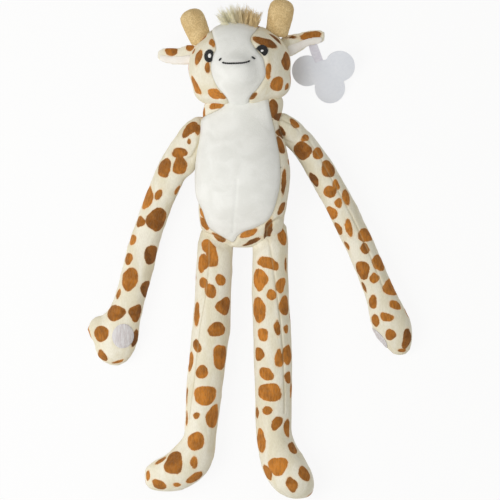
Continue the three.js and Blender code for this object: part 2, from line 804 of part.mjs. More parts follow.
function tagPieces() {
  const under = -earBackThick / 2 - gap - strapThick;
  const tuck = strapTuckShare * earLength;
  const hold = new THREE.Vector3(tuck, tuck * earSkewShare, under).applyMatrix4(earPlace(1));
  const frame = new THREE.Matrix4().makeRotationZ(tagTurn).setPosition(hold.x, hold.y, 0);
  const lean = new THREE.Matrix4().makeRotationX(tagLean).setPosition(0, -tagDown, tagLie).premultiply(frame);
  const disc = (x, y, radius) => prism(oval(x, y, radius, radius, tagSides), 0, tagThick, lean);
  const card = joined([
    disc(0, 0, tagMiddleRadius),
    ...tagLobeShares.map(([across, up]) => disc(across * tagSpread, up * tagSpread, tagLobeRadius)),
  ]);
  // the strap's side view: from the ear down to the tag, then along under the tag
  const underTag = (down) => tagLie + (tagDown - down) * Math.tan(tagLean) - gap / Math.cos(tagLean);
  const top = [
    [-strapWidth / 2, hold.z],
    [-strapReach, underTag(strapReach)],
    [-strapReach - strapLap, underTag(strapReach + strapLap)],
  ];
  const profile = [...top, ...top.map(([y, z]) => [y, z - strapThick]).reverse()];
  const sideOn = new THREE.Matrix4().makeBasis(Y, Z, X).premultiply(frame);
  const strap = prism(profile, -strapWidth / 2, strapWidth / 2, sideOn);
  return [piece('tag_strap', strap, tagCard), piece('tag', card, tagCard)];
}

const group = new THREE.Group();
group.add(
  ...body,
  ...headPieces,
  ...ear('left', -1),
  ...ear('right', 1),
  ...arms.flatMap(arm),
  ...legs.flatMap(leg),
  ...tagPieces(),
);

export default group;
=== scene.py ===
import math
import random

import bmesh
import bpy
import numpy as np
from mathutils import Matrix, Vector, noise
from mathutils.bvhtree import BVHTree


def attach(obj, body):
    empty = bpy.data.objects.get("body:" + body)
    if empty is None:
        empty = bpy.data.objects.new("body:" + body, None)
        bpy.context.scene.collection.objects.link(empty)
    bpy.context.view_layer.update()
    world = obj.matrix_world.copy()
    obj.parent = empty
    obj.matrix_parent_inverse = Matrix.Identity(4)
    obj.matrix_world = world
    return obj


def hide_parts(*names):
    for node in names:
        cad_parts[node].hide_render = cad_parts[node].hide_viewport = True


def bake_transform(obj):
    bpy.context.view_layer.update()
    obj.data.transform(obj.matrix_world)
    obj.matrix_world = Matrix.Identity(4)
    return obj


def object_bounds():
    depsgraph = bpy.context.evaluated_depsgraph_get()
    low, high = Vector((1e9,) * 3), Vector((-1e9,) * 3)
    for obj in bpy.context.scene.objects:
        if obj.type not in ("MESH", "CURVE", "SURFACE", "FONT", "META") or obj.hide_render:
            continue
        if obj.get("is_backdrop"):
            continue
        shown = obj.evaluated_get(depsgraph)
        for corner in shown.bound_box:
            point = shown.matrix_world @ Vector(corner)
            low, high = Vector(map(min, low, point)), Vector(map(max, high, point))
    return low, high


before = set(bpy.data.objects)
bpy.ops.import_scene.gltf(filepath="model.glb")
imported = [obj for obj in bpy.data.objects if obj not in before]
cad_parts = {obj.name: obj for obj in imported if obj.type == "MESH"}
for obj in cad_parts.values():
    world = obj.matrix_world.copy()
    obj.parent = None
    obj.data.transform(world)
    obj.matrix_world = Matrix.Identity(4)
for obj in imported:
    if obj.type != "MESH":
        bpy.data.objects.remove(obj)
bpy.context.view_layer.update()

# A plush giraffe on its back, seen from above. Tables are in millimetres: x right, y to the head, z up.
mm = 0.001
scene = bpy.context.scene


def pick(*objs):  # with none given, it only clears the selection
    for o in list(bpy.context.selected_objects):
        o.select_set(False)
    for o in objs:
        o.select_set(True)
    bpy.context.view_layer.objects.active = objs[0] if objs else None


def named(name):
    obj = bpy.context.object
    obj.name = obj.data.name = name
    return obj


def added(name, data):
    obj = bpy.data.objects.new(name, data)
    scene.collection.objects.link(obj)
    return obj


def disc(name, sides):
    pick()
    bpy.ops.mesh.primitive_circle_add(vertices=sides, radius=1, fill_type="NGON")
    return named(name)


def sphere(name, segments, rings):
    pick()
    bpy.ops.mesh.primitive_uv_sphere_add(segments=segments, ring_count=rings, radius=1)
    return named(name)


def applied(obj, kind, **values):
    pick(obj)
    m = obj.modifiers.new(kind.title(), kind)
    for key, value in values.items():
        setattr(m, key, value)
    bpy.ops.object.modifier_apply(modifier=m.name)


def joinedAs(name, parts):
    pick(*parts)
    if len(parts) > 1:
        bpy.ops.object.join()
    return named(name)


def settled(obj):
    pick(obj)
    bpy.ops.object.transform_apply(location=True, rotation=True, scale=True)
    return obj


def readFrom(rows, field, width=3, kind=float):
    out = np.empty(len(rows) * width, kind)
    rows.foreach_get(field, out)
    return out.reshape(-1, width)


def pointsOf(obj):
    return readFrom(obj.data.vertices, "co")


def normalsOf(obj):
    return readFrom(obj.data.vertex_normals, "vector")


def setPoints(obj, points):
    obj.data.vertices.foreach_set("co", np.asarray(points, float).ravel())
    obj.data.update()


def keep(obj, name, values):
    layer = obj.data.attributes.get(name) or obj.data.attributes.new(name, "FLOAT", "POINT")
    layer.data.foreach_set("value", np.asarray(values, np.float32))


def smoothShaded(obj):
    obj.data.shade_smooth()
    return obj


def outward(obj):
    pick(obj)
    bpy.ops.object.mode_set(mode="EDIT")
    bpy.ops.mesh.select_all(action="SELECT")
    bpy.ops.mesh.normals_make_consistent(inside=False)
    bpy.ops.object.mode_set(mode="OBJECT")
    return obj


def placeAt(at, turn=0, axis="Z"):
    return Matrix.Translation(Vector(at)) @ Matrix.Rotation(math.radians(turn), 4, axis)


def treeOf(*objs):
    points, faces = [], []
    for o in objs:
        start = len(points)
        points += [v.co.copy() for v in o.data.vertices]
        faces += [[start + k for k in p.vertices] for p in o.data.polygons]
    return BVHTree.FromPolygons(points, faces)


def dropped(tree, x, y, side=1):
    # the place and normal on a surface under a point, or beside it where the point lies past the edge
    far, middle = 0.5, 0.03
    hit = tree.ray_cast(Vector((x, y, side * far)), Vector((0, 0, -side)))
    if hit[0] is None:
        hit = tree.find_nearest(Vector((x, y, middle)))
    return hit[0], hit[1]


# node trees
def feed(tree, value, socket):
    if isinstance(value, bpy.types.NodeSocket):
        tree.links.new(value, socket)
    else:
        socket.default_value = value


def node(tree, kind, feeds=(), **values):
    # values are the node's own settings, or inputs by name
    made = tree.nodes.new("ShaderNode" + kind)
    for key, value in values.items():
        if hasattr(made, key):
            setattr(made, key, value)
        else:
            made.inputs[key.replace("_", " ")].default_value = value
    for value, at in feeds:
        feed(tree, value, made.inputs[at])
    return made


def mathOf(tree, operation, a, b=0.0, clamp=False):
    return node(tree, "Math", [(a, 0), (b, 1)], operation=operation, use_clamp=clamp).outputs[0]


def blended(tree, factor, a, b):
    return node(tree, "Mix", [(factor, 0), (a, 6), (b, 7)], data_type="RGBA", clamp_factor=True).outputs[2]


def ranged(tree, value, low, high, toLow=0.0, toHigh=1.0):
    limits = {"From_Min": low, "From_Max": high, "To_Min": toLow, "To_Max": toHigh}
    made = node(tree, "MapRange", [(value, "Value")], interpolation_type="SMOOTHSTEP", **limits)
    return made.outputs["Result"]


def noiseOf(tree, vector, scale, detail=2.0, rough=0.5):
    made = node(tree, "TexNoise", [(vector, "Vector")], Scale=scale, Detail=detail, Roughness=rough)
    return made.outputs["Fac"]


def stretched(tree, vector, along):  # noise from this place runs in streaks along y
    return node(tree, "VectorMath", [(vector, 0), ((1, along, 1), 1)], operation="MULTIPLY").outputs[0]


def attribute(tree, name):
    return node(tree, "Attribute", attribute_name=name).outputs["Fac"]


def srgb(*parts):
    shares = [c / 255 for c in parts]
    return tuple(c / 12.92 if c <= 0.04045 else ((c + 0.055) / 1.055) ** 2.4 for c in shares) + (1,)


def newMaterial(name):
    material = bpy.data.materials.new(name)
    material.use_nodes = True
    return material, material.node_tree, material.node_tree.nodes["Principled BSDF"]


def cameraMask(tree):  # 1 for what the camera sees, straight on, in gloss or through glass
    rays = tree.nodes.new("ShaderNodeLightPath").outputs
    seen = mathOf(tree, "MAXIMUM", rays["Is Camera Ray"], rays["Is Glossy Ray"])
    return mathOf(tree, "MAXIMUM", seen, rays["Is Transmission Ray"])


# camera, floor and light, in metres
view = {"height": 8.0, "field": 0.5, "centre": (-0.0005, 0.0), "middle": 0.03, "sensor": 36, "far": 50}
cameraData = bpy.data.cameras.new("camera")
cameraData.sensor_width = view["sensor"]
cameraData.lens = view["sensor"] * (view["height"] - view["middle"]) / view["field"]
cameraData.clip_end = view["far"]
camera = added("camera", cameraData)
camera.location = (*view["centre"], view["height"])
scene.camera = camera

lamps = {
    # place, size, power, colour
    "keyLamp": ((-0.85, -0.27, 1.05), 0.95, 11.0, (1.0, 0.985, 0.96)),
    "fillLamp": ((1.3, 0.5, 1.6), 1.6, 3.5, (0.97, 0.98, 1.0)),
}
for name, (place, size, power, colour) in lamps.items():
    data = bpy.data.lights.new(name, "AREA")
    data.size, data.energy, data.color = size, power, colour
    lamp = added(name, data)
    lamp.location = place
    lamp.rotation_mode = "QUATERNION"
    lamp.rotation_quaternion = (Vector((0, 0, view["middle"])) - Vector(place)).to_track_quat("-Z", "Y")
    lamp.visible_camera = False

scene.view_settings.view_transform = "Standard"

# the studio is white to the camera, and lights the toy a little less, and warmer
studio = {
    "white": (1, 1, 1, 1), "warm": (1.0, 0.985, 0.925, 1), "level": 0.44,
    "paper": (0.86, 0.86, 0.85, 1), "glow": 0.9, "floor": 14, "floorHeight": -0.0004,
}
world = bpy.data.worlds.new("studio")
scene.world = world
world.use_nodes = True
tree = world.node_tree
background = tree.nodes["Background"].inputs
feed(tree, blended(tree, cameraMask(tree), studio["warm"], studio["white"]), background["Color"])
feed(tree, ranged(tree, cameraMask(tree), 0.0, 1.0, studio["level"], 1.0), background["Strength"])

pick()
bpy.ops.mesh.primitive_plane_add(size=studio["floor"], location=(0, 0, studio["floorHeight"]))
floor = settled(named("floor"))
paper, tree, shader = newMaterial("paper")
shader.inputs["Base Color"].default_value = studio["paper"]
shader.inputs["Roughness"].default_value = 0.9
glow = node(tree, "Emission", Color=studio["white"])
share = mathOf(tree, "MULTIPLY", cameraMask(tree), studio["glow"])
mixer = node(tree, "MixShader", [(share, "Fac"), (shader.outputs[0], 1), (glow.outputs[0], 2)])
tree.links.new(mixer.outputs[0], tree.nodes["Material Output"].inputs["Surface"])
floor.data.materials.append(paper)
floor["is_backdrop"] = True
print("camera, floor and light ready")


# effects that several materials share
def groupOf(name, inputs, outputs):  # inputs by name with their values, None for a vector
    group = bpy.data.node_groups.new(name, "ShaderNodeTree")
    for label, value in inputs.items():
        kind = "NodeSocketVector" if value is None else "NodeSocketFloat"
        socket = group.interface.new_socket(label, in_out="INPUT", socket_type=kind)
        if value is not None:
            socket.default_value = value
    for label in outputs:
        group.interface.new_socket(label, in_out="OUTPUT", socket_type="NodeSocketFloat")
    return group, group.nodes.new("NodeGroupInput").outputs, group.nodes.new("NodeGroupOutput").inputs


def pileGroup():  # short pile: a height for the bump, light and dark where it is brushed, and a fine grain
    inputs = {"Vector": None, "Grain": 900.0, "Brush": 60.0}
    group, given, wanted = groupOf("shortPile", inputs, ("Height", "Shade", "Fuzz"))
    vector = (given["Vector"], "Vector")
    fine = node(group, "TexNoise", [vector, (given["Grain"], "Scale")], Detail=2.0).outputs["Fac"]
    broad = node(group, "TexNoise", [vector, (given["Brush"], "Scale")], Detail=3.0, Distortion=0.6)
    coarse = mathOf(group, "MULTIPLY", given["Grain"], 0.7)
    tufts = node(group, "TexVoronoi", [vector, (coarse, "Scale")]).outputs["Distance"]
    height = mathOf(group, "ADD", mathOf(group, "MULTIPLY", fine, 0.6), mathOf(group, "MULTIPLY", tufts, 0.5))
    feed(group, height, wanted["Height"])
    feed(group, broad.outputs["Fac"], wanted["Shade"])
    feed(group, fine, wanted["Fuzz"])
    return group


# the mask below sets where the materials paint shade into seams and creases
def seamGroup():  # how deep in a seam or crease a point lies, from the distance kept on the mesh
    group, given, wanted = groupOf("seamShade", {"Width": 1.6}, ["Mask"])
    ratio = mathOf(group, "DIVIDE", attribute(group, "seamDistance"), given["Width"])
    mask = mathOf(group, "SUBTRACT", 1.0, ratio, clamp=True)
    feed(group, mathOf(group, "POWER", mask, 1.5), wanted["Mask"])
    return group


# the light and dark in the print come from each spot's tone and from noise; the low tones given to spots on
# shaded sides make it partly painted shade
def spotGroup():  # printed spots: a mask with a fuzzy edge, a halo round it, and light and dark in the print
    inputs = {"Vector": None, "Wobble": 2.6, "Fuzz": 1.1}
    group, given, wanted = groupOf("printedSpots", inputs, ("Mask", "Halo", "Light"))
    vector = given["Vector"]
    streaks = ranged(group, noiseOf(group, stretched(group, vector, 0.22), 480.0, 3.0, 0.6), 0.36, 0.64)
    broad = ranged(group, noiseOf(group, vector, 90.0), 0.4, 0.62, -0.13, 0.16)
    streaks = mathOf(group, "ADD", mathOf(group, "MULTIPLY", streaks, 0.45), 0.72)
    light = mathOf(group, "MULTIPLY", attribute(group, "spotTone"), streaks)
    feed(group, mathOf(group, "ADD", light, broad, clamp=True), wanted["Light"])
    moved = attribute(group, "spotDistance")
    for scale, detail, strength in ((130.0, 1.0, "Wobble"), (1100.0, 2.0, "Fuzz")):
        centred = mathOf(group, "SUBTRACT", noiseOf(group, vector, scale, detail), 0.5)
        moved = mathOf(group, "ADD", moved, mathOf(group, "MULTIPLY", centred, given[strength]))
    feed(group, ranged(group, moved, 0.35, -0.3), wanted["Mask"])
    feed(group, ranged(group, moved, 1.5, 0.1), wanted["Halo"])
    return group


shortPile, seamShade, printedSpots = pileGroup(), seamGroup(), spotGroup()
# paintedSeamShade is how far seams and creases are darkened toward the deep colour, as painted shade
plainCloth = {
    "grain": 1100, "seamWidth": 1.3, "paintedSeamShade": 0.0, "rough": 0.88, "sheen": 0.2,
    "sheenTint": (255, 255, 255), "specular": 0.2, "bump": 0.4, "bumpHeight": 0.0004,
}
finishes = {
    "spottedPlush": {
        "lit": (245, 241, 227), "shaded": (233, 226, 203), "deep": (180, 165, 127),
        "spot": (205, 130, 48), "spotDark": (112, 64, 20), "halo": (244, 214, 172),
        "brush": 80, "speckle": 0.12, "streaks": 0.3, "paintedSeamShade": 0.5, "rough": 0.86, "sheen": 0.12,
        "sheenTint": (255, 244, 224), "bump": 0.5, "bumpHeight": 0.0005,
    },
    "whitePlush": {
        "lit": (247, 248, 246), "shaded": (238, 239, 236), "deep": (194, 194, 188),
        "brush": 60, "speckle": 0.06, "paintedSeamShade": 0.5,
    },
    "earLining": {
        "lit": (250, 247, 243), "shaded": (244, 238, 232), "deep": (212, 198, 182),
        "brush": 90, "speckle": 0.08, "paintedSeamShade": 0.45, "sheenTint": (255, 246, 238),
    },
    "tanPlush": {
        "lit": (238, 211, 160), "shaded": (221, 191, 138), "deep": (154, 122, 74),
        "grain": 800, "brush": 120, "speckle": 0.35, "seamWidth": 1.2, "paintedSeamShade": 0.6, "rough": 0.86,
        "sheen": 0.3, "sheenTint": (255, 232, 190), "bump": 0.7, "bumpHeight": 0.0007,
    },
    "hairPile": {
        "lit": (255, 253, 236), "shaded": (248, 243, 212), "deep": (238, 227, 184),
        # right is the darker tan past rightFrom along x: partly the tuft's own tan, partly painted shade on
        # the side away from the key lamp
        "right": (239, 213, 163), "rightFrom": (-0.024, 0.0), "grain": 900, "brush": 160,
        "speckle": 0.25, "rough": 0.7, "sheen": 0.3, "sheenTint": (255, 240, 210), "specular": 0.3,
        "bump": 0.3, "bumpHeight": 0.0003,
    },
    "darkThread": {
        "lit": (26, 25, 27), "shaded": (15, 15, 16), "deep": (5, 5, 5),
        "grain": 2400, "brush": 500, "speckle": 0.4, "rough": 0.45, "sheen": 0.1,
        "sheenTint": (220, 220, 230), "specular": 0.4, "bumpHeight": 0.0002,
    },
    "whiteThread": {
        "lit": (250, 250, 250), "shaded": (240, 240, 240), "deep": (205, 205, 205), "grain": 2400,
        "brush": 500, "speckle": 0.2, "rough": 0.5, "sheen": 0.1, "specular": 0.4, "bumpHeight": 0.0002,
    },
    "ribbon": {
        "lit": (242, 241, 252), "shaded": (232, 230, 243), "deep": (206, 203, 216),
        "grain": 1600, "brush": 260, "speckle": 0.15, "rough": 0.6, "sheen": 0.15, "specular": 0.3,
        "bump": 0.3, "bumpHeight": 0.0002,
    },
    "fastener": {
        "lit": (230, 229, 232), "shaded": (211, 205, 207), "deep": (176, 164, 164),
        "grain": 1300, "brush": 520, "speckle": 0.22, "streaks": 0.12, "seamWidth": 1.0, "paintedSeamShade": 0.4,
        "rough": 0.75, "sheen": 0.3, "sheenTint": (250, 244, 250), "specular": 0.3, "bump": 0.8,
        "bumpHeight": 0.0006,
    },
}


def clothMaterial(name, own):
    looks = {**plainCloth, **own}
    tint = {key: srgb(*value) for key, value in looks.items() if isinstance(value, tuple) and len(value) == 3}
    material, tree, shader = newMaterial(name)
    vector = node(tree, "TexCoord").outputs["Object"]
    along = stretched(tree, vector, looks["streaks"]) if "streaks" in looks else vector
    pile = node(
        tree, "Group", [(along, "Vector")], node_tree=shortPile, Grain=looks["grain"], Brush=looks["brush"],
    ).outputs
    seam = node(tree, "Group", node_tree=seamShade, Width=looks["seamWidth"]).outputs["Mask"]
    colour = blended(tree, ranged(tree, pile["Shade"], 0.3, 0.7), tint["shaded"], tint["lit"])
    # partly painted shade: the hair darkens to its right colour on the side away from the key lamp, and
    # partly its own tan
    if "right" in looks:
        side = node(tree, "SeparateXYZ", [(vector, "Vector")]).outputs["X"]
        colour = blended(tree, ranged(tree, side, *looks["rightFrom"]), colour, tint["right"])
    if "spot" in looks:
        spots = node(tree, "Group", [(vector, "Vector")], node_tree=printedSpots).outputs
        printed = blended(tree, spots["Light"], tint["spotDark"], tint["spot"])
        colour = blended(tree, mathOf(tree, "MULTIPLY", spots["Halo"], 0.5), colour, tint["halo"])
        colour = blended(tree, spots["Mask"], colour, printed)
    grain = mathOf(tree, "MULTIPLY", ranged(tree, pile["Fuzz"], 0.35, 0.65), looks["speckle"])
    # random fibre speckle, then painted shade in seams and creases, darken the colour toward the deep colour
    for mask in (grain, mathOf(tree, "MULTIPLY", seam, looks["paintedSeamShade"])):
        colour = blended(tree, mask, colour, tint["deep"])
    raised = [(pile["Height"], "Height")]
    bump = node(tree, "Bump", raised, Strength=looks["bump"], Distance=looks["bumpHeight"])
    for value, label in (
        (colour, "Base Color"), (ranged(tree, pile["Shade"], 0.2, 0.8, looks["rough"], 1.0), "Roughness"),
        (looks["sheen"], "Sheen Weight"), (0.5, "Sheen Roughness"), (tint["sheenTint"], "Sheen Tint"),
        (looks["specular"], "Specular IOR Level"), (bump.outputs["Normal"], "Normal"),
    ):
        feed(tree, value, shader.inputs[label])
    return material


card = {"paper": (240, 244, 253), "fibre": (236, 240, 250), "edge": (243, 246, 254)}


def cardMaterial():
    material, tree, shader = newMaterial("tagCard")
    vector = node(tree, "TexCoord").outputs["Object"]
    fibre = noiseOf(tree, vector, 320.0, 5.0, 0.65)
    cloud = ranged(tree, noiseOf(tree, vector, 40.0), 0.4, 0.75, 0.0, 0.4)
    colour = blended(tree, ranged(tree, fibre, 0.35, 0.7), srgb(*card["paper"]), srgb(*card["fibre"]))
    bump = node(tree, "Bump", [(fibre, "Height")], Strength=0.15, Distance=0.0002)
    feed(tree, blended(tree, cloud, colour, srgb(*card["edge"])), shader.inputs["Base Color"])
    feed(tree, ranged(tree, fibre, 0.3, 0.7, 0.42, 0.6), shader.inputs["Roughness"])
    feed(tree, bump.outputs["Normal"], shader.inputs["Normal"])
    return material


materials = {name: clothMaterial(name, own) for name, own in finishes.items()}
materials["tagCard"] = cardMaterial()
print("materials ready")


# stuffed forms
def resampled(rows, count):  # more rows between those of a table, on a smooth curve through them
    rows = np.array(rows, float)
    at = np.concatenate([[0], np.cumsum(np.linalg.norm(np.diff(rows[:, :3], axis=0), axis=1))])
    last, least, out = len(rows) - 1, 1.0, []
    for w in np.linspace(0, at[-1], count):
        k = min(max(int(np.searchsorted(at, w, side="right")) - 1, 0), last - 1)
        p0, p1, p2, p3 = rows[max(k - 1, 0)], rows[k], rows[k + 1], rows[min(k + 2, last)]
        t = (w - at[k]) / (at[k + 1] - at[k])
        bend = (2 * p0 - 5 * p1 + 4 * p2 - p3) * t * t + (3 * p1 - p0 - 3 * p2 + p3) * t ** 3
        row = 0.5 * (2 * p1 + (p2 - p0) * t + bend)
        row[3:5] = np.maximum(row[3:5], least)
        out.append(row)
    return out


def sectionOf(row):
    x, y, z, across, up, heading = row
    turn = math.radians(heading)
    return Vector((x, y, z)) * mm, Vector((-math.sin(turn), math.cos(turn), 0)), across * mm, up * mm


def stuffedTube(name, rows, sides):
    # a form extruded along rows of x, y, z, half across, half up and heading in degrees
    obj = disc(name, sides)
    bpy.ops.object.mode_set(mode="EDIT")
    bpy.ops.mesh.select_all(action="SELECT")
    bm = bmesh.from_edit_mesh(obj.data)
    middle, sideways, across, up = sectionOf(rows[0])
    for v in bm.verts:
        v.co = middle + sideways * across * v.co.x + Vector((0, 0, up * v.co.y))
    for row in rows[1:]:
        bpy.ops.mesh.extrude_region_move()
        bm = bmesh.from_edit_mesh(obj.data)
        newMiddle, newSideways, newAcross, newUp = sectionOf(row)
        for v in bm.verts:
            if v.select:
                out = v.co - middle
                shifted = newSideways * (newAcross * out.dot(sideways) / across)
                v.co = newMiddle + shifted + Vector((0, 0, newUp * out.z / up))
        middle, sideways, across, up = newMiddle, newSideways, newAcross, newUp
    bmesh.update_edit_mesh(obj.data)
    bpy.ops.object.mode_set(mode="OBJECT")
    outward(obj)
    applied(obj, "SUBSURF", levels=1, render_levels=1)
    return obj


def ball(name, place, halves, rings=20):
    obj = sphere(name, rings * 2, rings)
    obj.data.transform(Matrix.Scale(mm, 4) @ place @ Matrix.Diagonal(Vector((*halves, 1))))
    return obj


puffing = {"frames": 20, "bending": 0.5, "smoothing": 3}


def swollen(obj, pressure):
    # remeshes a form, blows it up with cloth pressure, holds the movement to a cap, and smooths it finer
    applied(obj, "REMESH", mode="VOXEL", voxel_size=pressure["voxel"] * mm)
    rest = pointsOf(obj)
    pick(obj)
    cloth = obj.modifiers.new("Cloth", "CLOTH")
    cloth.settings.use_pressure = True
    cloth.settings.uniform_pressure_force = pressure["force"]
    cloth.settings.effector_weights.gravity = 0
    cloth.settings.tension_stiffness = pressure["stiffness"]
    cloth.settings.compression_stiffness = pressure["stiffness"]
    cloth.settings.bending_stiffness = puffing["bending"]
    for step in range(puffing["frames"]):
        scene.frame_set(step + 1)
    puffed = obj.evaluated_get(bpy.context.evaluated_depsgraph_get())
    move = readFrom(puffed.data.vertices, "co") - rest
    obj.modifiers.remove(cloth)
    scene.frame_set(1)
    length = np.linalg.norm(move, axis=1)
    cap = pressure["cap"] * mm
    setPoints(obj, rest + move * (cap * np.tanh(length / cap) / np.maximum(length, 1e-9))[:, None])
    applied(obj, "SMOOTH", factor=0.5, iterations=puffing["smoothing"])
    applied(obj, "SUBSURF", levels=pressure["fine"], render_levels=pressure["fine"])


resting = {"height": 0.3, "soft": 1.5}


def laidDown(obj):  # flattens a form where it would sink into what it lies on
    points = pointsOf(obj)
    soft = resting["soft"] * mm
    turn = resting["height"] * mm + soft
    z = points[:, 2]
    points[:, 2] = np.where(z < turn, turn - soft + soft * np.exp(np.minimum((z - turn) / soft, 0)), z)
    setPoints(obj, points)


def roughened(obj, rows):  # loose filling: rows of bump size, height and seed
    points, normals = pointsOf(obj), normalsOf(obj)
    for size, height, seed in rows:
        shift = Vector((seed * 7.31, seed * 3.77, seed * 5.13))
        bumps = np.array([noise.noise(Vector(p) / (size * mm) + shift) for p in points])
        points += normals * (bumps * height * mm)[:, None]
    setPoints(obj, points)


def stepped(line, step):  # a line of x, y points, with more between them
    laid = []
    for (x0, y0), (x1, y1) in zip(line, line[1:]):
        count = max(1, round(math.dist((x0, y0), (x1, y1)) / step))
        laid += [(x0 + (x1 - x0) * k / count, y0 + (y1 - y0) * k / count) for k in range(count)]
    return laid + [line[-1]]


def onTop(tree, line, side=1):
    return [dropped(tree, x * mm, y * mm, side)[0] for x, y in stepped(line, 3)]


def lineDistance(points, line):
    best = np.full(len(points), 1e9)
    for a, b in zip(line, line[1:]):
        a, b = np.array(a), np.array(b)
        way = b - a
        t = np.clip((points - a) @ way / max(way @ way, 1e-12), 0, 1)
        best = np.minimum(best, np.linalg.norm(points - a - t[:, None] * way, axis=1))
    return best


farFromSeam = 20.0


def pressedIn(obj, lines, depth, width, seam=True, shade=1):
    # draws the surface in along lines, and keeps the distance from them for the painted shade that the
    # material darkens along them; a shade below 1 widens that painted shade
    points, normals = pointsOf(obj), normalsOf(obj)
    distance = np.full(len(points), farFromSeam * mm)
    for line in lines:
        distance = np.minimum(distance, lineDistance(points, line))
    setPoints(obj, points - normals * (depth * mm * np.exp(-((distance / (width * mm)) ** 2)))[:, None])
    if seam:
        distance = distance * shade / mm
        old = obj.data.attributes.get("seamDistance")
        if old:
            distance = np.minimum(distance, readFrom(old.data, "value", 1, np.float32)[:, 0])
        keep(obj, "seamDistance", distance)


spotRules = {
    "leastSeen": 0.45, "tones": (0.4, 0.9), "tries": 900, "longer": (1, 1.5), "least": 4, "deep": 1.6,
    "ripples": ((2, 0.05), (3, 0.07), (4, 0.035)), "plainTone": 0.6, "far": 9,
}


# a low tone given as the sixth value, on spots on the sides turned from the key lamp and in the armpit and
# crotch folds, is partly painted shade on the print
def placedSpot(tree, spot, tones):  # a row of x, y, width, height, tilt and perhaps tone, as seen from above
    x, y, width, height, tilt, *own = spot
    tone = own[0] if own else tones.uniform(*spotRules["tones"])
    place, normal = dropped(tree, x * mm, y * mm)
    turn = math.radians(tilt)
    along = Vector((-math.sin(turn), math.cos(turn), 0))
    along = along - normal * along.dot(normal)
    across = normal.cross(along)
    radii = []
    for way, size in ((across, width), (along, height)):
        radii.append(size / 2 / max(spotRules["leastSeen"], math.hypot(way.x, way.y) / max(way.length, 1e-9)))
    ways = [np.array(way) for way in (across.normalized(), along.normalized(), normal)]
    return np.array(place), *ways, radii, tone


def scattered(points, normals, blobs, more, tones):  # adds seeded spots at the back, clear of the others
    chance = random.Random(more["seed"])
    order = list(range(len(points)))
    chance.shuffle(order)
    behind = [k for k in order if normals[k, 2] < more["facing"]]
    for k in behind[:spotRules["tries"]]:
        size = chance.uniform(*more["sizes"])
        space = [(size / 2 + max(b[4]) + more["space"]) * mm for b in blobs]
        if all(np.linalg.norm(points[k] - b[0]) > s for b, s in zip(blobs, space)):
            normal = Vector(normals[k])
            aim = Vector((chance.uniform(-1, 1), chance.uniform(-1, 1), chance.uniform(-1, 1)))
            along = normal.cross(aim).normalized()
            ways = [np.array(way) for way in (normal.cross(along), along, normal)]
            radii = [size / 2, size / 2 * chance.uniform(*spotRules["longer"])]
            blobs.append((points[k], *ways, radii, tones.uniform(*spotRules["tones"])))


def spotted(obj, spots, more=None):
    # keeps each point's distance from the nearest spot's edge, less than 0 inside, and that spot's tone
    tree, points = treeOf(obj), pointsOf(obj)
    tones = random.Random(len(spots) + 100)
    blobs = [placedSpot(tree, spot, tones) for spot in spots]
    if more:
        scattered(points, normalsOf(obj), blobs, more, tones)
    far = spotRules["far"]
    best, shade = np.full(len(points), far), np.full(len(points), spotRules["plainTone"])
    shapes = random.Random(len(spots))
    for place, across, along, normal, (a, b), tone in blobs:
        out = (points - place) / mm
        depth = max(min(a, b), spotRules["least"]) * spotRules["deep"]
        u, v, w = (out @ across) / a, (out @ along) / b, (out @ normal) / depth
        angle = np.arctan2(v, u)
        edge = 1 + sum(
            shapes.uniform(0.3, 1) * size * np.sin(k * angle + shapes.uniform(0, 6.3))
            for k, size in spotRules["ripples"]
        )
        distance = (np.sqrt(u * u + v * v + w * w) / edge - 1) * min(a, b)
        shade[distance < best] = tone
        best = np.minimum(best, distance)
    keep(obj, "spotDistance", np.clip(best, -far, far))
    keep(obj, "spotTone", shade)


# sewn-in panels
def outlineDistance(x, y, outline):  # distance from an outline, more than 0 inside
    best = np.full(len(x), 1e9)
    inside = np.zeros(len(x), bool)
    for (x0, y0), (x1, y1) in zip(outline, outline[1:] + outline[:1]):
        wayX, wayY = x1 - x0, y1 - y0
        t = np.clip(((x - x0) * wayX + (y - y0) * wayY) / (wayX ** 2 + wayY ** 2), 0, 1)
        best = np.minimum(best, np.hypot(x - x0 - t * wayX, y - y0 - t * wayY))
        if y0 != y1:
            inside ^= ((y0 > y) != (y1 > y)) & (x < x0 + (y - y0) * wayX / wayY)
    return np.where(inside, best, -best)


def rounded(outline):  # its corners cut twice
    for _ in range(2):
        pairs = zip(outline, outline[1:] + outline[:1])
        outline = [
            (a[0] * s + b[0] * (1 - s), a[1] * s + b[1] * (1 - s)) for a, b in pairs for s in (0.75, 0.25)
        ]
    return outline


cutting = {"passes": 3, "step": 0.05, "flattest": 0.05, "near": 0.02, "rim": 0.35, "under": 0.5}


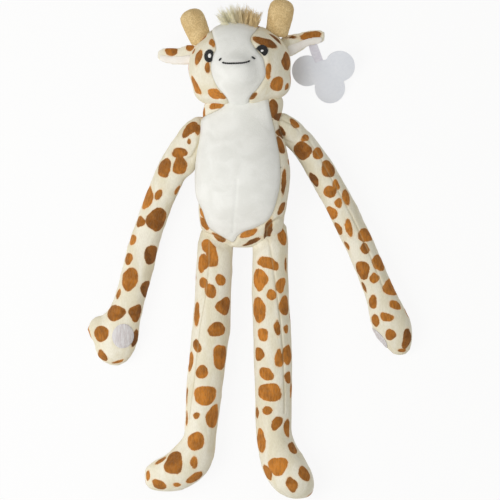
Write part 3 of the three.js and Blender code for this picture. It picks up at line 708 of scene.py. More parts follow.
def panelCut(cover, facts):
    # cuts a panel from a cover, within an outline seen from above and over a low height
    # the panel is its own closed piece, and the cover sinks under it
    outline = rounded(facts["outline"])

    def inside(points):
        flat = outlineDistance(points[:, 0] / mm, points[:, 1] / mm, outline)
        return np.minimum(flat, points[:, 2] / mm - facts["low"])

    applied(cover, "TRIANGULATE")
    points, normals = pointsOf(cover), normalsOf(cover)
    edges = readFrom(cover.data.edges, "vertices", 2, int)
    step = cutting["step"]
    for _ in range(cutting["passes"]):  # slides the points next to the outline onto it
        value = inside(points)
        moves = np.eye(3) * step * mm
        gradient = np.stack([(inside(points + move) - value) / step for move in moves], axis=1)
        gradient -= normals * np.sum(gradient * normals, axis=1)[:, None]
        ends = edges[value[edges[:, 0]] * value[edges[:, 1]] < 0]
        first = np.abs(value[ends[:, 0]]) < np.abs(value[ends[:, 1]])
        nearer = np.unique(np.where(first, ends[:, 0], ends[:, 1]))
        size = np.maximum(np.sum(gradient[nearer] ** 2, axis=1), cutting["flattest"])
        points[nearer] -= gradient[nearer] * (value[nearer] / size)[:, None] * mm
    setPoints(cover, points)
    value = inside(points)
    value[np.abs(value) < cutting["near"]] = 0
    faces = readFrom(cover.data.polygons, "vertices", 3, int)
    within = value[faces].sum(axis=1) > 0
    pick(cover)
    bpy.ops.object.duplicate()
    panel = named(facts["name"])
    bm = bmesh.new()
    bm.from_mesh(panel.data)
    bm.faces.ensure_lookup_table()
    bmesh.ops.delete(bm, geom=[f for f in bm.faces if not within[f.index]], context="FACES")
    bm.to_mesh(panel.data)
    bm.free()
    thick, depth = facts["thick"], facts["depth"]
    for obj in (cover, panel):  # both edges roll into the seam
        p, n = pointsOf(obj), normalsOf(obj)
        distance = np.abs(inside(p))
        dip = depth * np.exp(-((distance / facts["width"]) ** 2))
        if obj == cover:
            under, outer = np.zeros((2, len(p)), bool)
            under[faces[within].ravel()] = True
            outer[faces[~within].ravel()] = True
            covered = np.where(outer, depth + cutting["rim"], depth + thick + cutting["under"])
            dip = np.where(under, covered, dip)
        setPoints(obj, p - n * (dip * mm)[:, None])
        # the distance from the seam is kept for the painted shade along it
        keep(obj, "seamDistance", np.minimum(distance, farFromSeam))
    applied(panel, "SOLIDIFY", thickness=thick * mm, offset=-1)
    return panel


# the rows of a form are x, y, z, half across, half up and heading
torso = {
    "rows": [
        (-8.5, 1.2, 20, 11, 5, 90), (-8.5, 4.4, 20, 23, 9.5, 90), (-8.5, 11, 20.8, 34.5, 15, 90),
        (-8.5, 18, 21.8, 41.5, 19, 90), (-8.5, 25, 24.8, 43, 23.5, 90), (-8.5, 34, 28.8, 44.4, 28, 90),
        (-8.4, 44, 32.5, 45.6, 32, 90), (-8.3, 56, 34.5, 47.8, 34, 90), (-7.9, 69, 35, 49, 34.5, 90),
        (-7.7, 82.5, 34.6, 48.9, 34.3, 90), (-7.9, 95.5, 33.6, 47.5, 33.3, 90),
        (-8.4, 109, 31.9, 45.5, 30.4, 90), (-9.6, 120.5, 31.2, 43.2, 26.8, 90),
        (-9, 131, 31.4, 42.2, 23.5, 90), (-7, 140, 32, 41.4, 21.5, 90), (-6.2, 148, 32.5, 41.6, 19.5, 90),
        (-5, 155, 32.5, 38.5, 16, 90), (-6, 160.5, 32.5, 26, 11, 90),
    ],
    "sections": 34, "sides": 24,
    "pressure": {"voxel": 4.5, "force": 4.0, "stiffness": 12, "cap": 2.5, "fine": 2},
    "lumps": [(38, 0.4, 3), (16, 0.12, 5)],
    "panel": {
        "name": "bellyPanel", "low": 27, "thick": 1.8, "depth": 1.5, "width": 2.4,
        "outline": [
            (17, 172), (18.5, 146), (22.5, 130), (26, 117), (30.3, 93), (31, 68), (28.2, 52), (21.5, 31),
            (8, 22), (-12, 16), (-16.5, 6), (-21, 8), (-38, 18), (-44, 23), (-51, 45), (-66, 60), (-70, 100),
            (-66, 120), (-50, 133), (-34, 139), (-24, 146), (-22, 172),
        ],
    },
    "spots": [
        (30.5, 105, 7, 19, 15, 0.3), (33.5, 68, 5, 26, -3, 0.3), (31.5, 42, 5, 14, -8, 0.3),
        (-55.8, 68, 2, 20, 0), (-46.3, 26, 7, 17, 12), (-49, 37, 3, 12, 12), (-31.5, 12.5, 15, 6, -38),
        (-2.5, 16, 19, 7, 24), (1.8, 8.2, 19, 5, 25, 0.1), (18, 21, 7.5, 20, -16, 0.1),
        (-33.5, 144.5, 17, 7, 8), (23.5, 142, 10, 17, 10, 0.05), (28, 133, 9, 8, 0, 0.05),
        (34, 132, 8, 8, 0, 0.1), (30, 116, 6, 10, 0, 0.1), (38, 88, 3, 6, 0),
    ],
    "more": {"seed": 11, "sizes": (10, 19), "space": 3.5, "facing": -0.1},
    "crease": [(-13.5, 70), (-15, 50), (-16.5, 32), (-17.5, 18)], "creaseDepth": 0.5, "creaseWidth": 1.6,
    "folds": [
        [(37, 32), (30, 32), (23, 28), (17, 21), (16.5, 10)], [(-50, 19), (-38, 14), (-27, 9), (-20, 5)],
    ],
    "foldDepth": 1.8, "foldWidth": 2.4,
}


def makeTorso():
    cover = stuffedTube("bodyCover", resampled(torso["rows"], torso["sections"]), torso["sides"])
    swollen(cover, torso["pressure"])
    roughened(cover, torso["lumps"])
    laidDown(cover)
    tree = treeOf(cover)
    crease, *folds = [onTop(tree, line) for line in (torso["crease"], *torso["folds"])]
    panel = panelCut(cover, torso["panel"])
    pressedIn(panel, [crease], torso["creaseDepth"], torso["creaseWidth"], seam=False)
    pressedIn(cover, folds, torso["foldDepth"], torso["foldWidth"])
    spotted(cover, torso["spots"], torso["more"])
    return smoothShaded(cover), smoothShaded(panel)


bodyCover, bellyPanel = makeTorso()
print("torso ready")

head = {
    "centre": (-10.8, 184.5, 39.5), "roll": 5, "halves": (52, 42.6, 39.6),
    "bulges": [
        ((-31, -18.5, -3), (18.2, 18, 24)), ((32.6, -18.5, -3), (17.8, 19, 24)),
        ((-4, 22.8, 3), (31, 22, 28)),
    ],
    "muzzle": {"shift": (-3, -8.5, 15), "halves": (27.5, 24.5, 34), "tilt": -12},
    "pressure": {"voxel": 4.2, "force": 4.0, "stiffness": 12, "cap": 2.2, "fine": 2},
    "lumps": [(34, 0.45, 8), (15, 0.2, 9)],
    "panel": {
        "name": "facePanel", "low": 40, "thick": 1.8, "depth": 1.3, "width": 2.2,
        "outline": [
            (-39.9, 222), (-39.9, 219.4), (-33.8, 201), (-36.8, 196.4), (-39.9, 189), (-40.3, 176.6),
            (-34.5, 162), (-26, 153.5), (-21.5, 147), (-21.5, 130), (-2, 130), (-2, 147), (1, 154), (8, 160),
            (14.4, 170.4), (16, 176.6), (14.4, 185), (12.9, 192), (4.9, 201), (0.6, 207.2), (0, 213.3),
            (7.5, 221.7), (8, 226), (-15, 236), (-39, 230),
        ],
    },
    "spots": [
        (-38.3, 206.5, 6, 8.5, 20), (-52.2, 192, 6.5, 15, -22), (-42.8, 181.4, 5.5, 11, 0),
        (-56.8, 198, 2, 6, -25), (-55, 164, 5, 21, 22), (-36, 155, 11, 12, 0), (-30.5, 153.4, 14, 6, -12),
        (14.8, 207, 27, 8.5, -20, 0.25), (25.1, 211, 14, 3, -38, 0), (36.5, 188, 8.5, 19, 8, 0.35),
        (17.8, 178, 5.5, 16, 3), (26.7, 165.6, 12.5, 15.5, -25), (36.5, 163, 3.5, 8, -20),
        (-0.2, 152.8, 11, 6.5, 10, 0.2), (-47, 212, 6, 9, 30),
    ],
    "more": {"seed": 5, "sizes": (10, 20), "space": 3.5, "facing": -0.1},
}
headPlace = placeAt(head["centre"], head["roll"])


def makeHead():
    muzzle = head["muzzle"]
    snoutPlace = headPlace @ placeAt(muzzle["shift"], muzzle["tilt"], "X")
    parts = [ball("skull", headPlace, head["halves"]), ball("snout", snoutPlace, muzzle["halves"])]
    parts += [ball("bulge", headPlace @ placeAt(shift), halves) for shift, halves in head["bulges"]]
    cover = joinedAs("headCover", parts)
    swollen(cover, head["pressure"])
    roughened(cover, head["lumps"])
    laidDown(cover)
    panel = panelCut(cover, head["panel"])
    spotted(cover, head["spots"], head["more"])
    return smoothShaded(cover), smoothShaded(panel)


headCover, facePanel = makeHead()
faceTree = treeOf(headCover, facePanel)
print("head ready")

# fuller is added to the half widths and half heights for what smoothing takes off, with a shift across
limbs = {
    "leftArm": {
        "rows": [
            (-42, 121, 29, 11, 7, -175), (-51, 119, 30.2, 13.6, 10, -160),
            (-59, 112.5, 30.3, 13.8, 10.8, -140), (-65, 104.5, 29.2, 12.2, 11.5, -131),
            (-73.5, 93.6, 26.4, 11.8, 12.2, -121), (-82, 75, 21.2, 13.1, 12.5, -113),
            (-94.3, 45.4, 14.9, 12.8, 12.5, -110), (-107.7, 7, 12.5, 13.3, 12.5, -107),
            (-112.8, -13.5, 12.5, 14.1, 12.5, -105), (-123.5, -53, 12.5, 13.8, 12.5, -107),
            (-130, -72, 12, 16.6, 12.2, -106), (-133, -90, 11.6, 17.4, 11.6, -98),
            (-136.6, -104.5, 10, 14.8, 9.8, -95), (-138.6, -113, 8.4, 9.6, 7.6, -92),
            (-139.6, -117.3, 7.4, 5, 4, -90),
        ],
        "sections": 40, "fuller": (3.6, 0.6, 1.2),
        "balls": [
            ((-149.3, -80.2, 9.5), (15.2, 15.8, 9.5), -20), ((-146.8, -100, 8.5), (10, 14, 8), 15),
            ((-60, 87, 24), (9, 16, 9), -25),
        ],
        "seam": [
            (-53, 130), (-62, 118), (-72, 104), (-84, 84), (-96, 50), (-108, 14), (-116, -20), (-126, -56),
        ],
        "seamDepth": 0.4, "seamSide": -1, "folds": [((-77, 101), (-62, 88))],
        "crease": [(-50, 131), (-48.5, 123.5), (-51.5, 106), (-58, 93), (-64, 88.5)],
        "bend": ((-54, 116, 30), (-70, 98, 28)), "seed": 21,
        "spots": [
            (-60.5, 121.2, 9, 20, -45, 0.35), (-51.7, 120.5, 5, 11, -20), (-70.9, 97.3, 15, 10, 0),
            (-70, 84, 14, 18, -10), (-86.5, 82.2, 12, 20, -20), (-103.5, 52, 8, 24, -22),
            (-92.1, 55, 6, 12, -30), (-73.2, 60, 3, 10, -25), (-93.2, 30.4, 19, 24, -15, 0.3),
            (-110.7, 28.4, 7, 12, 0), (-118.2, 10.1, 6, 11, -20), (-98.8, -4.7, 12, 20, -10, 0.15),
            (-122.7, -8.7, 8, 12, 0), (-121.4, -29.4, 16, 25, -5), (-104.3, -39, 8, 16, -8, 0.05),
            (-132.2, -43.8, 4, 9, -25), (-136.2, -62.6, 18, 16, 0, 0.35), (-114.7, -62.9, 13, 17, -20, 0.2),
            (-149.5, -84, 15, 16, 0), (-149, -106, 7, 13, 30), (-132.2, -112, 3, 11, -65),
            (-115.2, -88.5, 6, 19, -12, 0), (-61.5, 108.5, 3, 5, 0),
        ],
    },
    "rightArm": {
        "rows": [
            (13, 124, 29, 11, 7, 0), (23, 125, 30.2, 13, 9.6, -3), (31.6, 123.9, 30.3, 12.6, 10.4, -16),
            (40.3, 118.9, 28.8, 11.2, 11.5, -34), (49.5, 111.2, 26.2, 11, 12.2, -50),
            (60.7, 96.4, 21.6, 11.6, 12.5, -58), (76.5, 70.5, 16, 12.6, 12.5, -61),
            (94, 38.4, 12.8, 13.2, 12.5, -63), (113, -0.5, 12.5, 12.8, 12.5, -65.5),
            (129.6, -39.6, 12.5, 13.6, 12.5, -68), (136, -57.5, 12.3, 15.3, 12.4, -71.5),
            (142.4, -74, 11.9, 17.2, 11.8, -72), (149.5, -89.8, 10.6, 13.6, 10.2, -74),
            (152.4, -100.4, 8.6, 8, 7.4, -79), (153, -106.2, 7.4, 4, 4, -80),
        ],
        "sections": 40, "fuller": (3.2, 0.6, -1.1),
        "balls": [((141.6, -84, 10), (9, 13, 9), 30), ((43.5, 105, 25), (7, 9, 9), 35)],
        "seam": [(30, 131), (44, 124), (58, 110), (70, 92), (85, 64), (101, 35), (117, 1), (133, -38)],
        "seamDepth": 0.7, "folds": [((41, 104), (58, 122))],
        "crease": [(29.5, 140), (27, 126), (29.5, 116.5), (34.5, 110), (41, 105.5)],
        "bend": ((27, 125, 30), (44, 117, 28)), "seed": 22,
        "spots": [
            (44.2, 126.6, 6.5, 13, 42, 0.5), (30, 119, 5.5, 14, 35, 0.1), (54.9, 112, 6, 6, 0),
            (51.4, 98.4, 18, 18, 0, 0.25), (68.1, 96.6, 11, 12, 20), (78.2, 81.3, 14, 17, 20, 0.4),
            (62.9, 70.6, 7, 14, 25, 0.1), (79.3, 58.2, 13, 12, -15), (85.7, 65, 7, 10, 20),
            (88.1, 47, 8, 9, 0), (96, 53.4, 7, 16, -5), (80.9, 37.2, 9, 14, 25), (87.7, 21.2, 6, 13, 25),
            (98.4, 22, 7, 18, 12), (96.8, 3.7, 3, 9, 25), (115.5, 15, 14, 14, 10), (114.7, 1.3, 9, 11, 25),
            (129.5, -12.3, 10, 18, 25), (111.5, -20.2, 13, 19, 15, 0.45), (123.9, -28.2, 9, 11, 0),
            (141.5, -37, 10, 18, 30), (113.5, -37, 3, 10, 20, 0.2), (122.3, -52.1, 9, 13, -10),
            (144.7, -55.3, 13, 8, -25), (135.9, -66.8, 14, 9, -15), (124.5, -70.5, 8, 13, -10),
            (139.9, -84.8, 11, 11, 0), (156.9, -88.8, 9, 22, -5, 0.2), (151.8, -100.7, 8, 4, 0),
        ],
    },
    "leftLeg": {
        "rows": [
            (-32.5, 24, 14, 12.5, 7, -92), (-33.2, 15, 15.5, 15, 9.5, -93),
            (-34.4, 3, 18.4, 15.2, 14.6, -95), (-35.8, -10, 18.6, 15.3, 15.4, -94),
            (-37.4, -40, 17.4, 15.9, 16, -92), (-39.3, -75, 16.2, 17, 16, -94),
            (-46.2, -136, 16.1, 16.5, 16, -96), (-50, -178, 15.3, 14.6, 15.2, -97),
            (-50.4, -189, 15.6, 14, 15.5, -105), (-56.6, -206, 16.1, 18.4, 16, -123),
            (-71.2, -220.4, 15.8, 18, 15.6, -143), (-88.5, -227.2, 13.6, 14.5, 13.2, -158),
            (-100, -229.4, 11, 10.8, 9.6, -170), (-107, -230, 9.6, 5.2, 5, -175),
        ],
        "sections": 44, "fuller": (3.5, 0.6, 0), "balls": [((-22.4, -19, 15), (5.5, 13, 8), 5)],
        "seam": [(-41.5, 10), (-41.5, -14), (-45.5, -49), (-50.5, -76), (-56.5, -131), (-61.5, -169)],
        "seamDepth": 0.45, "folds": [((-64, -193), (-80, -209)), ((-20, 2), (-34, 6))],
        "bend": ((-34.5, 14, 19), (-36, -14, 19)), "seed": 31,
        "spots": [
            (-44, 5, 11, 13, 20), (-38.5, -6.5, 12, 24, 0), (-48, -13, 10, 19, 0), (-47.5, -32.5, 8, 11, 30),
            (-40, -41, 12, 15, 10), (-29.9, -30, 10, 12, 20), (-26.1, -56, 14, 18, 0),
            (-33.5, -79.5, 16.5, 15, 0), (-54, -64, 6, 24, 0), (-54, -96, 8, 14, 25),
            (-60.2, -111.7, 5, 20, 0), (-29.5, -107, 14, 25, -5), (-48.9, -122, 13, 13, 0),
            (-45.1, -145.3, 23, 20, 0), (-63.7, -145, 2, 18, 0), (-54, -165.5, 7, 7, 0),
            (-37.3, -166.8, 11, 24, -12), (-63.7, -167.7, 2, 14, 0), (-55, -191, 17, 19, 0),
            (-76.9, -212.5, 17, 22, -5), (-56.5, -212.5, 8, 12, 0), (-89.8, -210.8, 12, 4, 30),
            (-91.5, -235, 15, 9, -25), (-102.8, -226, 4, 10, 0), (-73.5, -235, 8, 4, 0),
            (-55.5, -228, 18, 8, 30),
        ],
    },
    "rightLeg": {
        "rows": [
            (18.5, 31, 15, 12, 7.5, -88), (19, 20, 16.5, 15.2, 10.5, -89), (19.4, 6, 18.6, 15.6, 14.6, -90),
            (19.6, -10, 18.6, 15.5, 15.4, -90), (19.9, -49, 17.2, 16.6, 16, -88),
            (22.5, -100, 16.1, 17.5, 16, -88), (23.5, -169, 16.1, 16.4, 16, -88.5),
            (24.5, -190, 16.3, 16.3, 16, -77), (32.2, -213, 18.8, 19.4, 17.6, -67),
            (42, -230.6, 20.5, 18.2, 17.6, -64.5), (48.8, -241.6, 19.4, 13.2, 14, -68.5),
            (51.6, -247.4, 16.6, 8, 9, -75), (52.6, -250.4, 14.4, 4.5, 5, -77),
        ],
        "sections": 44, "fuller": (3.5, 0.6, 0),
        "seam": [(17.5, 11), (20.5, -2), (23.5, -23), (29.5, -66), (32.5, -100), (34.1, -144), (34.1, -163)],
        "seamDepth": 0.9, "folds": [((45, -196), (62, -211)), ((5, 2), (14, 6))],
        "bend": ((19.5, 14, 19), (19.5, -14, 19)), "seed": 32,
        "spots": [
            (31.9, 13, 9, 17, 0), (16.1, -12.7, 20, 12, -10), (24.5, -16, 8, 10, 0),
            (8.7, -29.4, 14, 22, 10), (30.4, -35, 9, 16, -15), (21.2, -45, 10, 10, 0), (7.8, -60, 13, 26, 5),
            (34.2, -55.8, 9, 20, 0), (12.1, -84.7, 11, 13, 0), (26.7, -77.8, 7, 15, 5),
            (35.5, -78.7, 5, 9, 0), (8.3, -104, 9, 13, 0), (28.6, -109, 9, 18, 0), (37.3, -104.9, 9, 21, 0),
            (15.5, -124.3, 15, 12, -25), (37.9, -127.8, 6, 12, 0), (18.7, -142.4, 26, 18, -5),
            (40.5, -140, 2, 16, 0), (16.9, -160.3, 10, 9, 0), (6.5, -162.5, 3, 12, 0),
            (26.4, -173.2, 10, 15, -40), (36.4, -178, 6, 18, 0), (10, -191, 9, 24, 5),
            (42.8, -197.8, 7, 13, 40), (26.8, -216, 19, 19, 0), (54.3, -223.7, 10, 18, 35),
            (41.5, -235, 11, 16, 20), (16.9, -222.8, 7, 16, 25), (35.3, -14, 2, 14, 0),
        ],
    },
}
everyLimb = {
    "sides": 20, "pressure": {"voxel": 4.0, "force": 4.0, "stiffness": 12, "cap": 1.4, "fine": 2},
    "lumps": [(26, 0.7), (12, 0.35)], "foldDepth": 1.6, "foldWidth": 4.5,
    "creaseDepth": 1.4, "creaseWidth": 2.4, "creaseShade": 0.5, "seamWidth": 1.1,
    "more": {"sizes": (8, 16), "space": 3, "facing": -0.25},
}


def makeLimb(key, facts):
    name, seed = key + "Cover", facts["seed"]
    across, up, shift = facts["fuller"]
    rows = resampled(facts["rows"], facts["sections"])
    rows = [(x + shift, y, z, a + across, u + up, heading) for x, y, z, a, u, heading in rows]
    form = stuffedTube(name, rows, everyLimb["sides"])
    for at, halves, turn in facts.get("balls", []):
        form = joinedAs(name, [form, ball("bulge", placeAt(at, turn), halves)])
    swollen(form, everyLimb["pressure"])
    roughened(form, [(size, height, seed + k) for k, (size, height) in enumerate(everyLimb["lumps"])])
    laidDown(form)
    tree = treeOf(form)
    folds = [onTop(tree, fold) for fold in facts["folds"]]
    pressedIn(form, folds, everyLimb["foldDepth"], everyLimb["foldWidth"], seam=False)
    if "crease" in facts:
        crease, shade = onTop(tree, facts["crease"]), everyLimb["creaseShade"]
        pressedIn(form, [crease], everyLimb["creaseDepth"], everyLimb["creaseWidth"], shade=shade)
    seam = onTop(tree, facts["seam"], facts.get("seamSide", 1))
    pressedIn(form, [seam], facts["seamDepth"], everyLimb["seamWidth"])
    spotted(form, facts["spots"], {**everyLimb["more"], "seed": seed})
    return smoothShaded(form)


limbPieces = {key: makeLimb(key, facts) for key, facts in limbs.items()}
print("arms and legs ready")

# shares are of the length, and of the halves there
horns = {
    "left": {"halves": (13.1, 9.8), "length": 42.3, "at": (-33.2, 20.4, 2), "turn": 18, "seed": 39},
    "right": {"halves": (13.6, 10.2), "length": 44.5, "at": (37.4, 20, 2), "turn": -16, "seed": 41},
    "shares": [
        (0.12, 0.87), (0.3, 0.91), (0.45, 0.95), (0.6, 0.98), (0.75, 1), (0.86, 0.92), (0.94, 0.7),
        (0.99, 0.38),
    ],
    "sections": 14, "sides": 16, "seam": [(0.1, 0.7), (0.4, 0.83), (0.7, 0.99), (0.9, 0.8), (1, 0.3)],
    "pressure": {"voxel": 2.2, "force": 3.0, "stiffness": 15, "cap": 0.6, "fine": 1},
    "lumps": (14, 0.35), "seamHeight": 0.5, "seamDepth": 0.6, "seamWidth": 1.4,
}


def makeHorn(side):
    facts = horns[side]
    (across, up), length = facts["halves"], facts["length"]
    rows = [(0, along * length, 0, share * across, share * up, 90) for along, share in horns["shares"]]
    horn = stuffedTube(side + "Horn", resampled(rows, horns["sections"]), horns["sides"])
    place = headPlace @ placeAt(facts["at"], facts["turn"])
    horn.data.transform(Matrix.Scale(mm, 4) @ place @ Matrix.Scale(1 / mm, 4))
    swollen(horn, horns["pressure"])
    roughened(horn, [(*horns["lumps"], facts["seed"])])
    points = [(share * across, along * length, horns["seamHeight"]) for along, share in horns["seam"]]
    pressedIn(horn, [[place @ Vector(p) * mm for p in points]], horns["seamDepth"], horns["seamWidth"])
    return smoothShaded(horn)


sides = ("left", "right")
hornPieces = [makeHorn(side) for side in sides]

hair = {
    "middle": (6.5, 36.5, 4), "halfWidth": 9.5, "halfDepth": 6.5, "crown": 3.2, "sunk": 1,
    "tufts": 180, "strands": 10, "length": (13, 27.5), "shorter": 4, "uneven": (0.8, 1.05),
    "thick": 0.4, "slimmer": (0.6, 1.1), "fan": 34, "lean": -4, "leanSpread": 8, "tip": 24, "tipSpread": 7,
    "spread": 3, "gather": (0.1, 0.6), "curl": 3.0, "seed": 3,
}


def makeStrand():
    pick()
    bpy.ops.mesh.primitive_cone_add(
        vertices=4, radius1=1, radius2=0.22, depth=1, location=(0, 0, 0.5), end_fill_type="NGON",
    )
    strand = named("strand")
    bpy.ops.object.mode_set(mode="EDIT")
    for height in (0.25, 0.5, 0.75):
        bpy.ops.mesh.select_all(action="SELECT")
        bpy.ops.mesh.bisect(plane_co=(0, 0, height), plane_no=(0, 0, 1))
    bpy.ops.object.mode_set(mode="OBJECT")
    return settled(strand)


def makeHair():  # long pile on the crown: one strand is modelled, and the rest are bent copies of it
    strand = makeStrand()
    shape = pointsOf(strand)
    faces = [list(p.vertices) for p in strand.data.polygons]
    bpy.data.objects.remove(strand)
    chance = random.Random(hair["seed"])
    points, allFaces = [], []
    right, top, front = hair["middle"]
    for _ in range(hair["tufts"]):
        across, deep = chance.uniform(-1, 1), chance.uniform(-1, 1)
        root = top - abs(across) * hair["crown"] - hair["sunk"]
        middle = Vector((right + across * hair["halfWidth"], root, front + deep * hair["halfDepth"]))
        lean = math.radians(across * hair["fan"] + hair["lean"] + chance.gauss(0, hair["leanSpread"]))
        tip = math.radians(deep * hair["tip"] + chance.gauss(0, hair["tipSpread"]))
        way = Vector((math.sin(lean) * math.cos(tip), math.cos(lean) * math.cos(tip), math.sin(tip)))
        length = chance.uniform(*hair["length"]) - hair["shorter"] * across
        sideways = way.orthogonal().normalized()
        third = way.cross(sideways)
        curl, turn = chance.uniform(-hair["curl"], hair["curl"]), chance.uniform(0, 6.3)
        drift = sideways * math.cos(turn) + third * math.sin(turn)
        for _ in range(hair["strands"]):
            out, angle = hair["spread"] * math.sqrt(chance.random()), chance.uniform(0, 6.3)
            off = (sideways * math.cos(angle) + third * math.sin(angle)) * out
            own = length * chance.uniform(*hair["uneven"])
            gather = chance.uniform(*hair["gather"])
            thick = hair["thick"] * chance.uniform(*hair["slimmer"])
            start = len(points)
            for x, y, z in shape:
                p = middle + off * (1 - gather * z) + way * (own * z) + drift * (curl * z * z)
                points.append(headPlace @ (p + sideways * (x * thick) + third * (y * thick)) * mm)
            allFaces += [[start + k for k in f] for f in faces]
    mesh = bpy.data.meshes.new("hairTuft")
    mesh.from_pydata(points, [], allFaces)
    return smoothShaded(outward(added("hairTuft", mesh)))


hairTuft = makeHair()

# rows run from inside the head to the tip
ears = {
    "left": {
        "rows": [
            (-52, 195, 38, 9, 2.2, 180), (-57, 195, 38, 10.2, 2.6, 180), (-62, 195, 37.4, 10.8, 2.7, 180),
            (-70.5, 193.8, 34.5, 9.7, 2.6, 178), (-78.5, 194, 31.7, 8.9, 2.5, 179),
            (-86, 194.8, 29.2, 8, 2.3, 177), (-90.8, 195.6, 27.6, 6.3, 2, 176),
            (-93.8, 196, 26.6, 3.4, 1.2, 175),
        ],
        "spots": [(-79.5, 198.4, 12.5, 8.5, 0), (-60.5, 203, 9, 8, 15)],
    },
    "right": {
        "rows": [
            (31, 201.5, 38, 10, 2.2, 15), (35.5, 203, 38, 11.4, 2.6, 15), (40.5, 204.8, 38, 11.6, 2.7, 15),
            (48.9, 207.8, 37, 9.8, 2.6, 17), (56.5, 210.9, 36, 8.2, 2.5, 14), (63.5, 212.5, 35, 8, 2.4, 10),
            (70, 213, 34.2, 7.4, 2.1, 0), (75, 212.6, 33.8, 4.4, 1.3, -6),
        ],
        "spots": [(60, 213.8, 21, 9, 12), (40.5, 215.4, 13, 3, 4, 0)],
    },
    "lining": {
        "share": 0.47, "shift": 0.44, "thick": 1.3, "from": 2, "clear": 0.3, "voxel": 0.9, "smoothing": 4,
        "lumps": [(9, 0.25, 51)],
    },
    "sections": 16, "sides": 16, "lumps": [(11, 0.5, 50)],
    "pressure": {"voxel": 1.6, "force": 2.0, "stiffness": 15, "cap": 0.5, "fine": 1},
}


def makeEar(side):  # spotted plush, with a pale lining along the lower half, where the ear is folded over
    facts, lining = ears[side], ears["lining"]
    ribs = resampled(facts["rows"], ears["sections"])
    back = stuffedTube(side + "EarBack", ribs, ears["sides"])
    swollen(back, ears["pressure"])
    roughened(back, ears["lumps"])
    tree = treeOf(back)
    rows = []
    for x, y, z, across, _, heading in ribs[lining["from"]:-1]:
        down = lining["shift"] * across * abs(math.cos(math.radians(heading)))
        rows.append((x, y - down, z, across * lining["share"], lining["thick"], heading))
    form = stuffedTube(side + "EarLining", rows, ears["sides"])
    points = pointsOf(form)
    middles = list(zip(*sorted((row[0] * mm, row[2] * mm) for row in rows)))
    for k, (x, y, z) in enumerate(points):
        points[k, 2] = dropped(tree, x, y)[0].z + z - np.interp(x, *middles) + lining["clear"] * mm
    setPoints(form, points)
    applied(form, "REMESH", mode="VOXEL", voxel_size=lining["voxel"] * mm)
    applied(form, "SMOOTH", factor=0.5, iterations=lining["smoothing"])
    applied(form, "SUBSURF", levels=1, render_levels=1)
    roughened(form, lining["lumps"])
    spotted(back, facts["spots"])
    return smoothShaded(back), smoothShaded(form)


earPieces = {side: makeEar(side) for side in sides}
print("horns, hair and ears ready")


# embroidery
def stitches(name, lines, thick, rise):  # each is a slim ball stretched along a line and draped on the face
    parts = []
    for (x0, y0), (x1, y1) in lines:
        part = sphere(name + "Part", 8, 8)
        half = math.dist((x0, y0), (x1, y1)) / 2 + thick * 0.4
        turn = math.atan2(y1 - y0, x1 - x0)
        cos, sin = math.cos(turn), math.sin(turn)
        moved = []
        for x, y, z in pointsOf(part):
            a, b = math.copysign(abs(x) ** 0.8, x) * half, y * thick
            px = (x0 + x1) / 2 + a * cos - b * sin
            py = (y0 + y1) / 2 + a * sin + b * cos
            height = dropped(faceTree, px * mm, py * mm)[0].z / mm
            moved.append(Vector((px, py, height + rise + z * thick)) * mm)
        setPoints(part, moved)
        parts.append(part)
    return smoothShaded(joinedAs(name, parts))


# middle, half width and half height, and the line of the panel's seam that the eye runs under
eyes = {
    "left": {
        "middle": (-41.2, 193.2), "halves": (5.3, 6.2), "seam": ((-36.4, 198), (-38.2, 188)),
        "glint": {"middle": (-40.7, 193.3), "halves": (1.6, 2.0)},
    },
    "right": {
        "middle": (11.3, 198.3), "halves": (6.6, 5.6), "seam": ((4.9, 200.6), (14, 193)),
        "glint": {"middle": (11.6, 198.2), "halves": (1.5, 0.9)},
    },
    "thread": 0.62, "rise": 0.75, "glintThread": 0.5, "glintRise": 1.5, "pitch": 1.15, "slant": 0.06,
}
face = {
    "leftNostril": [(-31.3, 188.4), (-29.3, 190.7)],
    "rightNostril": [(1.4, 192.2), (4.6, 189.9)],
    "mouthStitch": [
        (-28, 186.5), (-26, 185.7), (-21.5, 185.3), (-14.5, 185.4), (-7.5, 185.8), (-3, 186.9), (-0.5, 188),
    ],
    "thread": 0.95, "rise": 0.45, "mouthStep": 2,
}


def satin(name, middle, halves, rise, thread, seam=None):  # rows of thread across an oval
    lines = []
    count = int(halves[1] * 2 / (thread * eyes["pitch"]))
    for k in range(count):
        t = -1 + 2 * (k + 0.5) / count
        half = halves[0] * math.sqrt(1 - t * t)
        y = middle[1] + t * halves[1]
        low, high = middle[0] - half, middle[0] + half
        if seam:
            (x0, y0), (x1, y1) = seam
            edge = x0 + (x1 - x0) * (y0 - y) / (y0 - y1)
            if edge > middle[0] and x1 < x0:
                high = min(high, edge)
            else:
                low = max(low, edge)
        if high - low > thread:
            lines.append(((low, y - half * eyes["slant"]), (high, y + half * eyes["slant"])))
    return stitches(name, lines, thread, rise)


facePieces = []
for side in sides:
    eye, glint = eyes[side], eyes[side]["glint"]
    facePieces += [
        satin(side + "Eye", eye["middle"], eye["halves"], eyes["rise"], eyes["thread"], eye["seam"]),
        satin(side + "EyeGlint", glint["middle"], glint["halves"], eyes["glintRise"], eyes["glintThread"]),
    ]
for name in ("leftNostril", "rightNostril", "mouthStitch"):
    line = stepped(face[name], face["mouthStep"]) if name == "mouthStitch" else face[name]
    facePieces.append(stitches(name, list(zip(line, line[1:])), face["thread"], face["rise"]))
print("face ready")

patches = {
    "left": {"at": (-127.6, -86.1, 20), "halves": (10.9, 12.3), "turn": -12, "facing": (0, 0, 1)},
    "right": {"at": (131, -87, 10), "halves": (8.5, 12.5), "turn": 35, "facing": (-0.72, -0.5, 0.48)},
    "thick": 0.9, "steep": 1.8, "round": 0.6,
}


